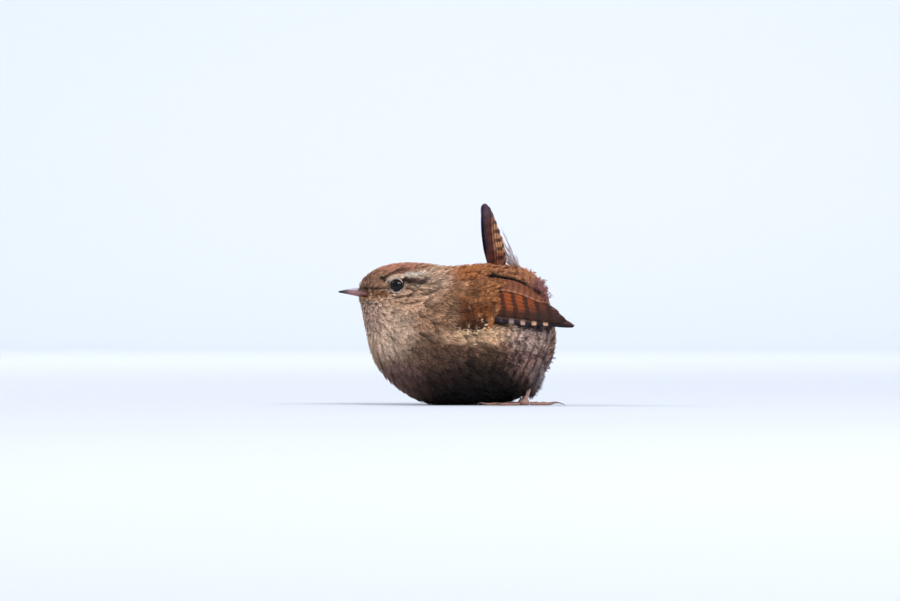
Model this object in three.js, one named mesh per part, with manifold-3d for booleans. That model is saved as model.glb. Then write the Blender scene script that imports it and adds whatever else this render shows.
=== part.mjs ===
// A Eurasian wren at life size, squatting with its tail cocked, as a still model.
// Millimetres, +Z up. The bird faces -X and its left side is -Y.
// The origin is the middle of the flat under the belly, on the floor.

import * as THREE from 'three';
import { mergeVertices } from 'three/addons/utils/BufferGeometryUtils.js';
import { LoftGeometry } from 'three/addons/geometries/LoftGeometry.js';
import Module from 'manifold-3d';

const wasm = await Module();
wasm.setup();

// Driving dimensions

const GAP = 0.3;
const SIDES = { left: -1, right: 1 };

// The fluffed body is one soft union of seven rounded masses, on the middle plane.
// Each has its middle (x, z) and its half sizes along X, Y and Z.
const MASSES = [
  { name: 'belly', x: 2.5, z: 24, rx: 33.5, ry: 19, rz: 24.5 },
  { name: 'breast', x: -6.5, z: 23.5, rx: 15.5, ry: 18.5, rz: 20.5 },
  { name: 'head', x: -19, z: 41.5, rx: 14.5, ry: 9.4, rz: 9.5 },
  { name: 'throat', x: -25, z: 33, rx: 7.5, ry: 8, rz: 8.5 },
  { name: 'nape', x: -9, z: 38, rx: 10.5, ry: 12.5, rz: 11 },
  { name: 'rump', x: 13, z: 37.5, rx: 20, ry: 14.5, rz: 13 },
  { name: 'vent', x: 18.5, z: 20.5, rx: 11, ry: 12, rz: 18 },
];
const MASS_BLEND = 2;

// The skin is measured outward from a straight core between these two points.
const CORE_FRONT = new THREE.Vector3(-22, 0, 40.5);
const CORE_REAR = new THREE.Vector3(18, 0, 24);
const SKIN_RINGS = 30;
const SKIN_SPOKES = 28;

// The head and neck are parted from the trunk by slanted cuts, from nape to throat.
const CUT_NORMAL = new THREE.Vector3(0.678, 0, -0.735).normalize();
const HEAD_CUT = new THREE.Vector3(-6, 0, 51);
const NECK_CUT = new THREE.Vector3(0.5, 0, 50.5);

const EYE = { x: -20.9, z: 43.2, radius: 3, shown: 2.05, lidTube: 0.42 };
const EYE_FORWARD = 0.25;
const EYE_UP = 0.1;

// Bill stations from the sunk base to the tip: culmen and gonys heights, mouth line, width.
const BILL = [
  { x: -31.3, top: 42.2, mouth: 39.6, bottom: 38.4, width: 3.8 },
  { x: -33.8, top: 42.1, mouth: 39.9, bottom: 38.8, width: 3.4 },
  { x: -36.5, top: 41.9, mouth: 40.2, bottom: 39.4, width: 2.4 },
  { x: -39.4, top: 41.4, mouth: 40.5, bottom: 40.0, width: 1.3 },
  { x: -41.9, top: 41.05, mouth: 40.7, bottom: 40.4, width: 0.4 },
];
const NOSTRIL = { x: -35.1, y: 1.15, z: 41.35, long: 1.3, high: 0.5, deep: 0.5 };

// A folded wing lies on rings about this level axis. Angles count down from straight up.
const WING_AXIS_Z = 27;
const WING_TIP_X = 42.6;
const WING_TIP_RADIUS = 5.5;
const WING_SPREAD = 9.5;
const WING_DRAW_IN = 8;
const VANE_THICK = 0.55;

// Feather tiers: root and tip of the lowest and the highest vane, as x and angle.
const WING_TIERS = [
  { name: 'primaries', count: 6, lift: 0.5, width: 4.6, tilt: 0.09,
    root: [[9, 82], [7, 72]], tip: [[30.5, 88], [41, 66]], reach: [0, 3.6, 5.4, 5.8, 3.2, 0] },
  { name: 'secondaries', count: 5, lift: 1.0, width: 5.8, tilt: 0.1,
    root: [[8, 72], [6, 46]], tip: [[39.5, 70], [32.5, 37]], reach: [0, 0.8, 1, 0.8, 0] },
  { name: 'tertials', count: 3, lift: 1.5, width: 5.6, tilt: 0.1,
    root: [[4, 46], [3, 36]], tip: [[30.5, 38], [23, 31]], reach: [0, 0, 0] },
  { name: 'greater_coverts', count: 6, lift: 1.8, width: 5.2, tilt: 0.12,
    root: [[1, 80], [-1, 42]], tip: [[16, 84], [15, 36]], reach: [0, 0.6, 1, 1, 0.6, 0] },
  { name: 'alula', count: 2, lift: 2.3, width: 3, tilt: 0.1,
    root: [[-1, 84], [-1, 78]], tip: [[10, 89], [12, 83]], reach: [0, 0] },
  { name: 'median_coverts', count: 5, lift: 2.4, width: 5.2, tilt: 0.12,
    root: [[-2.5, 77], [-2.5, 44]], tip: [[8.5, 80], [8, 38]], reach: [0, 0.4, 0.6, 0.4, 0] },
  { name: 'lesser_coverts', count: 4, lift: 2.8, width: 5.2, tilt: 0.1,
    root: [[-4.5, 72], [-4.5, 48]], tip: [[3, 76], [2.5, 42]], reach: [0, 0.3, 0.3, 0] },
];
const ARM_PAD = { x: [-6, 12], angle: 60, spread: 27, low: 0.45, edge: 0.95, high: 2.6 };
const WING_BLEND = 1.2;

// The cocked tail: pairs of vanes folded like a roof with its ridge to the front.
const TAIL_BASE = { x: 11.3, z: 49.5 };
const TAIL_TIP = { x: 11.1, z: 72.7 };
const TAIL_BOW = 1.7;
const TAIL_SHORTER = [0, 0.8, 2.3, 4.4, 7.2, 10.4];
const TAIL_WIDTH = 4.9;
const TAIL_FOLD = [38, 68];
const TAIL_BACK = [0.6, 0.5];
const TAIL_OUT = [0.3, 0.52];
const TAIL_LAP = 0.35;
const TAIL_BOW_LATE = 1.3;
const TAIL_PLUG = { x: 14.6, rx: 4.4, ry: 3.3, low: 46.8, high: 53.4 };

// Legs: a foot pad on the floor, a shank that leans back and ends in the flank.
const FOOT = { x: 24.8, y: 8.5, rx: 2, ry: 1.7, rz: 1.35, z: 1.0 };
const SHANK_TOP = { x: 30.2, z: 15 };
const SHANK_RADII = [0.95, 0.7, 0.72, 1.0, 1.5];
const TOE_START = 2.4;
const TOES = [
  { name: 'inner', turn: 27, length: 8.5, claw: 3.4 },
  { name: 'middle', turn: -7, length: 11.5, claw: 3.8 },
  { name: 'outer', turn: -41, length: 9, claw: 3.4 },
  { name: 'hind', turn: 173, length: 7, claw: 5.4 },
];
const TOE_RADII = [0.5, 0.55, 0.46, 0.52, 0.42];
const CLAW = { radius: 0.4, taper: 0.75, arch: 0.55, root: 0.46 };

// Solids from three.js geometry

const add = (a, b, k = 1) => a.clone().addScaledVector(b, k);
const lerp = THREE.MathUtils.lerp;
const rad = THREE.MathUtils.degToRad;
const vec = (x, y, z) => new THREE.Vector3(x, y, z);

function solid(geometry) {
  const bare = new THREE.BufferGeometry();
  bare.setAttribute('position', geometry.attributes.position);
  bare.setIndex(geometry.index);
  const merged = mergeVertices(bare, 1e-5);
  const corners = merged.index.array;
  const kept = [];
  for (let i = 0; i < corners.length; i += 3) {
    const [a, b, c] = corners.subarray(i, i + 3);
    if (a !== b && b !== c && c !== a) kept.push(a, b, c);
  }
  const places = merged.attributes.position.array;
  if (volume(places, kept) < 0) kept.reverse();
  return new wasm.Manifold(new wasm.Mesh({
    numProp: 3,
    vertProperties: new Float32Array(places),
    triVerts: new Uint32Array(kept),
  }));
}

function volume(places, corners) {
  const at = (i) => vec(places[3 * i], places[3 * i + 1], places[3 * i + 2]);
  let sum = 0;
  for (let i = 0; i < corners.length; i += 3) {
    sum += at(corners[i]).dot(at(corners[i + 1]).cross(at(corners[i + 2])));
  }
  return sum / 6;
}

function union(solids) {
  return solids.reduce((whole, next) => whole.add(next));
}

// Only the largest closed surface of a node is kept.
function largest(body) {
  const pieces = body.decompose();
  return pieces.sort((a, b) => b.volume() - a.volume())[0];
}

function middleOf(ring) {
  return ring.reduce((sum, p) => sum.add(p), vec(0, 0, 0)).divideScalar(ring.length);
}

// The rings are put in the order that turns the walls outward.
function loft(rings) {
  const middle = middleOf(rings[1]);
  const facing = vec(0, 0, 0);
  rings[1].forEach((p, n) => {
    const q = rings[1][(n + 1) % rings[1].length];
    facing.add(add(p, middle, -1).cross(add(q, middle, -1)));
  });
  const outward = facing.dot(add(middle, middleOf(rings[0]), -1)) > 0;
  const ordered = outward ? rings : rings.map((ring) => [...ring].reverse());
  return solid(new LoftGeometry(ordered, { closed: true, capStart: true, capEnd: true }));
}

function ball(middle, rx, ry, rz, columns = 12, rows = 8) {
  const sphere = new THREE.SphereGeometry(1, columns, rows);
  sphere.scale(rx, ry, rz);
  sphere.translate(middle.x, middle.y, middle.z);
  return solid(sphere);
}

// A closed sheet between a top and a bottom grid, both split along the same diagonals.
function sheet(top, bottom) {
  const rows = top.length;
  const columns = top[0].length;
  const places = [...top.flat(), ...bottom.flat()].flatMap((p) => [p.x, p.y, p.z]);
  const at = (face, i, j) => face * rows * columns + i * columns + j;
  const corners = [];
  for (let i = 0; i + 1 < rows; i++) {
    for (let j = 0; j + 1 < columns; j++) {
      for (const face of [0, 1]) {
        const [a, b] = [at(face, i, j), at(face, i, j + 1)];
        const [c, d] = [at(face, i + 1, j + 1), at(face, i + 1, j)];
        corners.push(...(face ? [a, b, c, a, c, d] : [a, c, b, a, d, c]));
      }
    }
  }
  const rim = [];
  for (let j = 0; j + 1 < columns; j++) rim.push([0, j]);
  for (let i = 0; i + 1 < rows; i++) rim.push([i, columns - 1]);
  for (let j = columns - 1; j > 0; j--) rim.push([rows - 1, j]);
  for (let i = rows - 1; i > 0; i--) rim.push([i, 0]);
  rim.forEach(([i, j], n) => {
    const [k, l] = rim[(n + 1) % rim.length];
    corners.push(at(0, i, j), at(0, k, l), at(1, k, l), at(0, i, j), at(1, k, l), at(1, i, j));
  });
  const geometry = new THREE.BufferGeometry();
  geometry.setAttribute('position', new THREE.Float32BufferAttribute(places, 3));
  geometry.setIndex(corners);
  return solid(geometry);
}

// The flesh

function depthIn(mass, p) {
  const a = vec((p.x - mass.x) / mass.rx, p.y / mass.ry, (p.z - mass.z) / mass.rz);
  const b = vec(a.x / mass.rx, a.y / mass.ry, a.z / mass.rz);
  const reach = a.length();
  return reach * (reach - 1) / Math.max(b.length(), 1e-9);
}

function heightOverSkin(p) {
  const sum = MASSES.reduce((all, mass) => all + Math.exp(-depthIn(mass, p) / MASS_BLEND), 0);
  return -MASS_BLEND * Math.log(sum);
}

// Distance along a ray from a point inside the body to the skin grown by `over`.
function rayToSkin(from, way, over = 0) {
  let near = 0;
  while (heightOverSkin(add(from, way, near + 1)) < over && near < 90) near += 1;
  let far = near + 1;
  for (let n = 0; n < 18; n++) {
    const middle = (near + far) / 2;
    if (heightOverSkin(add(from, way, middle)) < over) near = middle;
    else far = middle;
  }
  return near;
}

function skinPoint(u, v, over) {
  const core = CORE_FRONT.clone().lerp(CORE_REAR, THREE.MathUtils.smoothstep(u, 0, 1));
  const along = CORE_REAR.clone().sub(CORE_FRONT).normalize();
  const up = vec(-along.z, 0, along.x);
  const turn = Math.PI * u;
  const way = along.multiplyScalar(-Math.cos(turn));
  way.addScaledVector(up, Math.sin(turn) * Math.cos(v));
  way.y += Math.sin(turn) * Math.sin(v);
  return add(core, way, rayToSkin(core, way, over));
}

function flesh(over = 0) {
  const rings = [];
  for (let i = 0; i <= SKIN_RINGS; i++) {
    const u = lerp(0.012, 0.988, i / SKIN_RINGS);
    const ring = [];
    for (let j = 0; j < SKIN_SPOKES; j++) ring.push(skinPoint(u, 2 * Math.PI * j / SKIN_SPOKES, over));
    rings.push(ring);
  }
  return loft(rings);
}

function belowFloor() {
  const block = new THREE.BoxGeometry(200, 200, 40);
  block.translate(0, 0, -20);
  return solid(block);
}

// Everything on one side of a slanted cut; side 1 is the trunk's, -1 the bill's.
function half(point, side) {
  const block = new THREE.BoxGeometry(200, 200, 100);
  block.translate(0, 0, 50 + GAP / 2);
  const turn = new THREE.Quaternion().setFromUnitVectors(vec(0, 0, 1), CUT_NORMAL.clone().multiplyScalar(side));
  block.applyQuaternion(turn);
  block.translate(point.x, point.y, point.z);
  return solid(block);
}

// Eyes

function eyePlace(side) {
  const from = vec(EYE.x, 0, EYE.z);
  const sideways = vec(0, side, 0);
  const rim = add(from, sideways, rayToSkin(from, sideways));
  const out = vec(-EYE_FORWARD, side, EYE_UP).normalize();
  const sunk = Math.sqrt(EYE.radius ** 2 - EYE.shown ** 2);
  return { rim, out, middle: add(rim, out, -sunk) };
}

function eyeBall(side, over = 0) {
  const { middle } = eyePlace(side);
  const size = EYE.radius + over;
  return ball(middle, size, size, size, 16, 10);
}

function lids(side) {
  const { rim, out } = eyePlace(side);
  const ring = new THREE.TorusGeometry(EYE.shown + GAP + EYE.lidTube, EYE.lidTube, 5, 16);
  ring.applyQuaternion(new THREE.Quaternion().setFromUnitVectors(vec(0, 0, 1), out));
  ring.translate(rim.x, rim.y, rim.z);
  return solid(ring);
}

// Bill

function billHalf(upper, over = 0) {
  const rings = BILL.map((station, n) => {
    const mouth = station.mouth + (upper ? GAP / 2 - over : over - GAP / 2);
    const outer = upper ? station.top + over : station.bottom - over;
    const wide = station.width / 2 + over;
    const x = station.x + (n === 0 ? over : 0);
    const ring = [];
    for (let j = 0; j < 7; j++) {
      const turn = Math.PI * j / 6;
      const rise = Math.sin(turn) ** 0.85;
      ring.push(vec(x, Math.cos(turn) * wide, lerp(mouth, outer, rise)));
    }
    return upper ? ring : ring.reverse();
  });
  return loft(rings);
}

function nostril(side) {
  return ball(vec(NOSTRIL.x, side * NOSTRIL.y, NOSTRIL.z), NOSTRIL.long / 2, NOSTRIL.deep, NOSTRIL.high / 2, 8, 5);
}

// Wings

function wingRadius(x, angle) {
  const out = vec(0, Math.sin(angle), Math.cos(angle));
  const from = vec(x, 0, WING_AXIS_Z);
  const skin = heightOverSkin(from) < -1 ? rayToSkin(from, out) : 0;
  const short = Math.max(WING_TIP_X - x, 0);
  const folded = WING_TIP_RADIUS + WING_SPREAD * (1 - Math.exp(-short / WING_DRAW_IN));
  return WING_BLEND * Math.log(Math.exp(skin / WING_BLEND) + Math.exp(folded / WING_BLEND));
}

function wingPoint(side, x, angle, lift) {
  const reach = wingRadius(x, angle) + lift;
  return vec(x, side * reach * Math.sin(angle), WING_AXIS_Z + reach * Math.cos(angle));
}

const VANE_STEPS = [0, 0.3, 0.65, 0.88, 1];
const VANE_WIDTHS = [0.5, 0.92, 1, 0.7, 0.14];

function wingVane(side, tier, root, tip) {
  const top = [];
  const bottom = [];
  const reach = wingRadius((root[0] + tip[0]) / 2, rad((root[1] + tip[1]) / 2));
  const run = new THREE.Vector2(tip[0] - root[0], reach * rad(tip[1] - root[1])).normalize();
  VANE_STEPS.forEach((step, n) => {
    const x = lerp(root[0], tip[0], step);
    const angle = rad(lerp(root[1], tip[1], step));
    const wide = tier.width * VANE_WIDTHS[n] / 2;
    const thick = VANE_THICK * (n === VANE_STEPS.length - 1 ? 0.5 : 1);
    const here = wingRadius(x, angle);
    // The lower edge of each vane lies out over the next one down.
    const edges = [1, -1].map((edge) => [
      x - edge * run.y * wide,
      angle + edge * run.x * wide / here,
      tier.lift + edge * tier.tilt * wide,
    ]);
    top.push(edges.map(([ex, ea, lift]) => wingPoint(side, ex, ea, lift + thick)));
    bottom.push(edges.map(([ex, ea, lift]) => wingPoint(side, ex, ea, lift)));
  });
  return sheet(top, bottom);
}

function armPad(side) {
  const top = [];
  const bottom = [];
  const [rows, columns] = [6, 5];
  for (let i = 0; i <= rows; i++) {
    top.push([]);
    bottom.push([]);
    for (let j = 0; j <= columns; j++) {
      const x = lerp(ARM_PAD.x[0], ARM_PAD.x[1], i / rows);
      const along = 2 * i / rows - 1;
      const across = 2 * j / columns - 1;
      const angle = rad(ARM_PAD.angle + ARM_PAD.spread * across * Math.sqrt(1 - 0.75 * along ** 2));
      const crown = (1 - 0.9 * along ** 2) * (1 - 0.9 * across ** 2);
      top[i].push(wingPoint(side, x, angle, lerp(ARM_PAD.edge, ARM_PAD.high, crown)));
      bottom[i].push(wingPoint(side, x, angle, ARM_PAD.low));
    }
  }
  return sheet(top, bottom);
}

function wing(side) {
  const vanes = [armPad(side)];
  for (const tier of WING_TIERS) {
    for (let n = 0; n < tier.count; n++) {
      const part = n / (tier.count - 1);
      const root = [0, 1].map((k) => lerp(tier.root[0][k], tier.root[1][k], part));
      const tip = [0, 1].map((k) => lerp(tier.tip[0][k], tier.tip[1][k], part));
      tip[0] += tier.reach[n];
      vanes.push(wingVane(side, tier, root, tip));
    }
  }
  return union(vanes);
}

// Tail

const TAIL_STEPS = [0, 0.25, 0.5, 0.75, 0.92, 1];
const TAIL_WIDTHS = [0.5, 0.85, 1, 0.95, 0.6, 0.14];

function tailVane(side, pair) {
  const fold = rad(lerp(TAIL_FOLD[0], TAIL_FOLD[1], pair / 5));
  const across = vec(Math.sin(fold), side * Math.cos(fold), 0);
  const facing = vec(-Math.cos(fold), side * Math.sin(fold), 0);
  const tipZ = TAIL_TIP.z - TAIL_SHORTER[pair];
  const top = [];
  const bottom = [];
  TAIL_STEPS.forEach((step, n) => {
    const z = lerp(TAIL_BASE.z, tipZ, step);
    const rise = (z - TAIL_BASE.z) / (TAIL_TIP.z - TAIL_BASE.z);
    const front = lerp(TAIL_BASE.x, TAIL_TIP.x, rise) - TAIL_BOW * Math.sin(Math.PI * rise ** TAIL_BOW_LATE);
    const back = pair * lerp(TAIL_BACK[0], TAIL_BACK[1], rise);
    const out = pair * lerp(TAIL_OUT[0], TAIL_OUT[1], rise) - TAIL_LAP;
    const inner = vec(front + back, side * out, z);
    const full = TAIL_WIDTH * TAIL_WIDTHS[n] * lerp(0.82, 1, Math.min(1, step * 2));
    const skip = (TAIL_WIDTH - full) * 0.35;
    const thick = VANE_THICK * (n === TAIL_STEPS.length - 1 ? 0.5 : 1);
    const edges = [skip, skip + full].map((w) => add(inner, across, w));
    top.push(edges);
    bottom.push(edges.map((p) => add(p, facing, -thick)));
  });
  return sheet(top, bottom);
}

function tailPlug(over = 0) {
  const rings = [];
  for (const [z, size] of [[TAIL_PLUG.low - over, 0.8], [TAIL_PLUG.low + 3, 1], [TAIL_PLUG.high + over, 0.72]]) {
    const ring = [];
    for (let j = 0; j < 12; j++) {
      const turn = 2 * Math.PI * j / 12;
      const x = TAIL_PLUG.x + Math.cos(turn) * (TAIL_PLUG.rx * size + over);
      ring.push(vec(x, Math.sin(turn) * (TAIL_PLUG.ry * size + over), z));
    }
    rings.push(ring);
  }
  return loft(rings);
}

function tail(grown) {
  const vanes = [];
  for (let pair = 0; pair < 6; pair++) {
    for (const side of Object.values(SIDES)) vanes.push(tailVane(side, pair));
  }
  return union(vanes).subtract(grown).add(tailPlug());
}

// Legs and feet

function tube(points, radii, over = 0, spokes = 8, floor = -99) {
  const rings = points.map((p, n) => {
    const run = add(points[Math.min(n + 1, points.length - 1)], points[Math.max(n - 1, 0)], -1).normalize();
    const across = vec(0, 0, 1).cross(run);
    if (across.length() < 0.2) across.set(0, 1, 0);
    across.normalize();
    const up = run.clone().cross(across).normalize();
    const ring = [];
    for (let j = 0; j < spokes; j++) {
      const turn = 2 * Math.PI * (j + 0.5) / spokes;
      const size = radii[n] + over;
      const q = add(add(p, across, Math.cos(turn) * size), up, Math.sin(turn) * size);
      q.z = Math.max(q.z, floor);
      ring.push(q);
    }
    return ring;
  });
  return loft(rings);
}

function shank(side, over = 0) {
  const y = side * FOOT.y;
  const points = SHANK_RADII.map((r, n) => {
    const part = n / (SHANK_RADII.length - 1);
    return vec(lerp(FOOT.x, SHANK_TOP.x, part), y, lerp(FOOT.z, SHANK_TOP.z + over, part));
  });
  return tube(points, SHANK_RADII, over);
}

function leg(side, floor) {
  const pad = ball(vec(FOOT.x, side * FOOT.y, FOOT.z), FOOT.rx, FOOT.ry, FOOT.rz, 12, 8);
  return shank(side).add(pad).subtract(floor);
}

function toeWay(side, toe) {
  const turn = rad(toe.turn) * side;
  return vec(-Math.cos(turn), -Math.sin(turn), 0);
}

function toe(side, kind, over = 0) {
  const way = toeWay(side, kind);
  const root = vec(FOOT.x, side * FOOT.y, 0);
  const points = TOE_RADII.map((r, n) => {
    const p = add(root, way, TOE_START + kind.length * n / (TOE_RADII.length - 1));
    p.z = r * 0.86;
    return p;
  });
  return tube(points, TOE_RADII, over, 8, over ? -99 : 0);
}

function claw(side, kind, over = 0) {
  const way = toeWay(side, kind);
  const start = vec(FOOT.x, side * FOOT.y, 0);
  start.addScaledVector(way, TOE_START + kind.length + GAP);
  const points = [];
  const radii = [];
  for (let n = 0; n <= 4; n++) {
    const part = n / 4;
    const p = add(start, way, kind.claw * part);
    const size = CLAW.radius * (1 - CLAW.taper * part);
    p.z = lerp(CLAW.root, size, part) + CLAW.arch * Math.sin(Math.PI * part);
    points.push(p);
    radii.push(size);
  }
  return tube(points, radii, over, 6, over ? -99 : 0);
}

// Assembly

const FINISH = {
  crown: { color: 0x865d4c, roughness: 0.9 },
  breast: { color: 0xa58c76, roughness: 0.92 },
  trunk: { color: 0x7c5a44, roughness: 0.92 },
  wing: { color: 0x85512f, roughness: 0.75 },
  tail: { color: 0x61392e, roughness: 0.75 },
  bill_top: { color: 0x8d7c80, roughness: 0.45 },
  bill_low: { color: 0x9a6a66, roughness: 0.45 },
  eye: { color: 0x0b0d12, roughness: 0.05 },
  leg: { color: 0x8a6a62, roughness: 0.55 },
  claw: { color: 0x5d4a42, roughness: 0.45 },
};

const wren = new THREE.Group();
wren.name = 'wren';

function place(name, body, finish) {
  const { vertProperties, triVerts, numProp } = body.getMesh();
  const places = new Float32Array(vertProperties.length / numProp * 3);
  for (let i = 0; i < places.length / 3; i++) {
    for (let k = 0; k < 3; k++) places[3 * i + k] = vertProperties[numProp * i + k];
  }
  const geometry = new THREE.BufferGeometry();
  geometry.setAttribute('position', new THREE.BufferAttribute(places, 3));
  geometry.setIndex(new THREE.BufferAttribute(new Uint32Array(triVerts), 1));
  geometry.computeVertexNormals();
  const material = new THREE.MeshStandardMaterial({ ...FINISH[finish], metalness: 0 });
  const mesh = new THREE.Mesh(geometry, material);
  mesh.name = name;
  wren.add(mesh);
}

const floor = belowFloor();
const body = flesh().subtract(floor);
const grown = flesh(GAP);

let head = body.intersect(half(HEAD_CUT, -1));
let trunk = body.intersect(half(NECK_CUT, 1));
const neck = body.intersect(half(HEAD_CUT, 1)).intersect(half(NECK_CUT, -1));

for (const side of Object.values(SIDES)) head = head.add(lids(side));
for (const side of Object.values(SIDES)) head = head.subtract(eyeBall(side, GAP));
for (const upper of [true, false]) head = head.subtract(billHalf(upper, GAP));

trunk = trunk.subtract(tailPlug(GAP));
for (const side of Object.values(SIDES)) {
  trunk = trunk.subtract(shank(side, GAP));
  for (const kind of TOES) trunk = trunk.subtract(toe(side, kind, GAP)).subtract(claw(side, kind, GAP));
}

let billUpper = billHalf(true);
for (const side of Object.values(SIDES)) billUpper = billUpper.subtract(nostril(side));

place('head', largest(head), 'crown');
place('neck', largest(neck), 'breast');
place('torso', largest(trunk), 'trunk');
place('bill_upper', largest(billUpper), 'bill_top');
place('bill_lower', billHalf(false), 'bill_low');
place('tail', largest(tail(grown)), 'tail');
for (const [sideName, side] of Object.entries(SIDES)) {
  place(`eye_${sideName}`, eyeBall(side), 'eye');
  place(`wing_${sideName}`, largest(wing(side).subtract(grown)), 'wing');
  place(`leg_${sideName}`, largest(leg(side, floor)), 'leg');
  for (const kind of TOES) {
    place(`toe_${kind.name}_${sideName}`, toe(side, kind), 'leg');
    place(`claw_${kind.name}_${sideName}`, claw(side, kind), 'claw');
  }
}

export default wren;
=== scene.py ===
# %% [markdown]
# # A wren, fluffed up, with its tail cocked
# The real bird weighs as much as two sheets of paper and is mostly feather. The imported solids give
# its true size and pose. This script covers them: one skin for all the flesh, a coat of small body
# feathers, barred wings and tail, a wet eye, a horn bill and scaly feet.

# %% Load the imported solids
import itertools
import math
import bpy
import numpy as np
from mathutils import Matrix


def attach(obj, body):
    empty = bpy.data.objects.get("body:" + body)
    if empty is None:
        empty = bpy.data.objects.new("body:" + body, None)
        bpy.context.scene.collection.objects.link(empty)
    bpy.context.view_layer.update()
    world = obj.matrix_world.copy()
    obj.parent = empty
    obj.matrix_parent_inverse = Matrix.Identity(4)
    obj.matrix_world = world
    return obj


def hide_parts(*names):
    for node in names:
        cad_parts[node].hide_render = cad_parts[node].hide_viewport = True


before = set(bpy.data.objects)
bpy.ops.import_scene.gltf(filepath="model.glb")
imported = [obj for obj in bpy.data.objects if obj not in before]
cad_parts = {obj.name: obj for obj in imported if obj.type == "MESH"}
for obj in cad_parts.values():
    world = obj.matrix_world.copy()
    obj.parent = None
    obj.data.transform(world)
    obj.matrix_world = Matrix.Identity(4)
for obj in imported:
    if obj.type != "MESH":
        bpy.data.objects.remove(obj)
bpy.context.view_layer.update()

# %% [markdown]
# ## Working units and small helpers
# Every size below is in millimetres, because that is how a bird is measured. Points turn to metres
# only when a mesh is made. All random draws come from one seeded source, so each run is the same.

# %% Units and helpers
MM = 0.001
SIDES = {"left": -1, "right": 1}
rng = np.random.default_rng(11)


def unit(v):
    return v / np.maximum(np.linalg.norm(v, axis=-1, keepdims=True), 1e-9)


def ease(value, low, high):
    t = np.clip((value - low) / (high - low), 0, 1)
    return t * t * (3 - 2 * t)


def mix(a, b, t):
    return a + (b - a) * t


def linear(hex_colour):
    s = np.array([int(hex_colour[i:i + 2], 16) for i in (1, 3, 5)]) / 255
    return np.where(s <= 0.04045, s / 12.92, ((s + 0.055) / 1.055) ** 2.4)


# %% Make one mesh piece
def piece(name, points, faces, material, facts=None, bake=None, replaces=()):
    """points in mm; faces a list of index arrays of 3 or 4 columns; bake is a UV per corner."""
    mesh = bpy.data.meshes.new(name)
    corners = np.concatenate([f.ravel() for f in faces]).astype(np.int32)
    counts = np.concatenate([np.full(len(f), f.shape[1]) for f in faces])
    mesh.vertices.add(len(points))
    mesh.vertices.foreach_set("co", (points * MM).astype(np.float32).ravel())
    mesh.loops.add(len(corners))
    mesh.loops.foreach_set("vertex_index", corners)
    mesh.polygons.add(len(counts))
    mesh.polygons.foreach_set("loop_start", (np.cumsum(counts) - counts).astype(np.int32))
    mesh.update(calc_edges=True)
    for label, values in (facts or {}).items():
        values = np.asarray(values, np.float32)
        if values.ndim == 2:
            rgba = np.concatenate([values, np.ones((len(values), 1), np.float32)], axis=1)
            layer = mesh.color_attributes.new(label, "FLOAT_COLOR", "POINT")
            layer.data.foreach_set("color", rgba.ravel())
        else:
            layer = mesh.attributes.new(label, "FLOAT", "POINT")
            layer.data.foreach_set("value", values)
    if bake is not None:
        layer = mesh.uv_layers.new(name="OFBake")
        layer.uv.foreach_set("vector", np.clip(bake, 0.001, 0.999).astype(np.float32).ravel())
    mesh.polygons.foreach_set("use_smooth", np.ones(len(counts), bool))
    mesh.materials.append(material)
    made = bpy.data.objects.new(name, mesh)
    bpy.context.scene.collection.objects.link(made)
    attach(made, "root")
    if replaces:
        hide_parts(*replaces)
    return made


def rolled(rings):
    """Points and outward faces of a capped tube. From its far end, each ring's points go clockwise."""
    rows, columns = rings.shape[:2]
    i, j = np.meshgrid(np.arange(rows - 1), np.arange(columns), indexing="ij")
    k = (j + 1) % columns
    near, far = i * columns, (i + 1) * columns
    walls = np.stack([far + j, far + k, near + k, near + j], -1).reshape(-1, 4)
    first = np.arange(columns)[None]
    last = first[:, ::-1] + (rows - 1) * columns
    return rings.reshape(-1, 3), [walls, first, last]


# %% [markdown]
# ## The form of the fluffed body
# A cold wren is nearly a ball. Seven rounded masses melted together give that form: belly, breast,
# head, throat, nape, rump and vent. It could be sculpted or lofted as a mesh. A formula is used
# instead, because with it every feather can ask where the surface is and which way it faces.

# %% Body masses: middle x and z, half sizes along X, Y and Z
MASSES = {
    "belly": (2.5, 24, 33.5, 19, 24.5),
    "breast": (-6.5, 23.5, 15.5, 18.5, 20.5),
    "head": (-19, 41.5, 14.5, 9.4, 9.5),
    "throat": (-25, 33, 7.5, 8, 8.5),
    "nape": (-9, 38, 10.5, 12.5, 11),
    "rump": (13, 37.5, 20, 14.5, 13),
    "vent": (18.5, 20.5, 11, 12, 18),
}
# Short feathers run out over the top and underside of the bill. The solids leave this out.
BILL_FOOT = (-30.2, 40.5, 3.6, 1.3, 2.9)
MASS_BLEND = 2.0
SLOPE_STEP = 0.05
LONGEST_RAY = 60.0
RAY_HALVINGS = 22
CORE_FRONT = np.array([-22.0, 0, 40.5])
CORE_REAR = np.array([18.0, 0, 24.0])


def height(p):
    """Signed distance over the outer surface of the coat, in mm."""
    total = 0
    for x, z, rx, ry, rz in (*MASSES.values(), BILL_FOOT):
        q = (p - (x, 0, z)) / (rx, ry, rz)
        far = np.linalg.norm(q, axis=-1)
        steep = np.maximum(np.linalg.norm(q / (rx, ry, rz), axis=-1), 1e-9)
        total = total + np.exp(-far * (far - 1) / steep / MASS_BLEND)
    return -MASS_BLEND * np.log(total)


def slope(p):
    """The way in which the height grows, square to the surface."""
    h = height(p)
    return np.stack([height(p + SLOPE_STEP * e) - h for e in np.eye(3)], -1) / SLOPE_STEP


def settle(p, over, rounds=3):
    """Moves points to a stated height over the surface."""
    for _ in range(rounds):
        g = slope(p)
        p = p - ((height(p) - over) / np.maximum((g * g).sum(-1), 0.1))[..., None] * g
    return p


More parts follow.
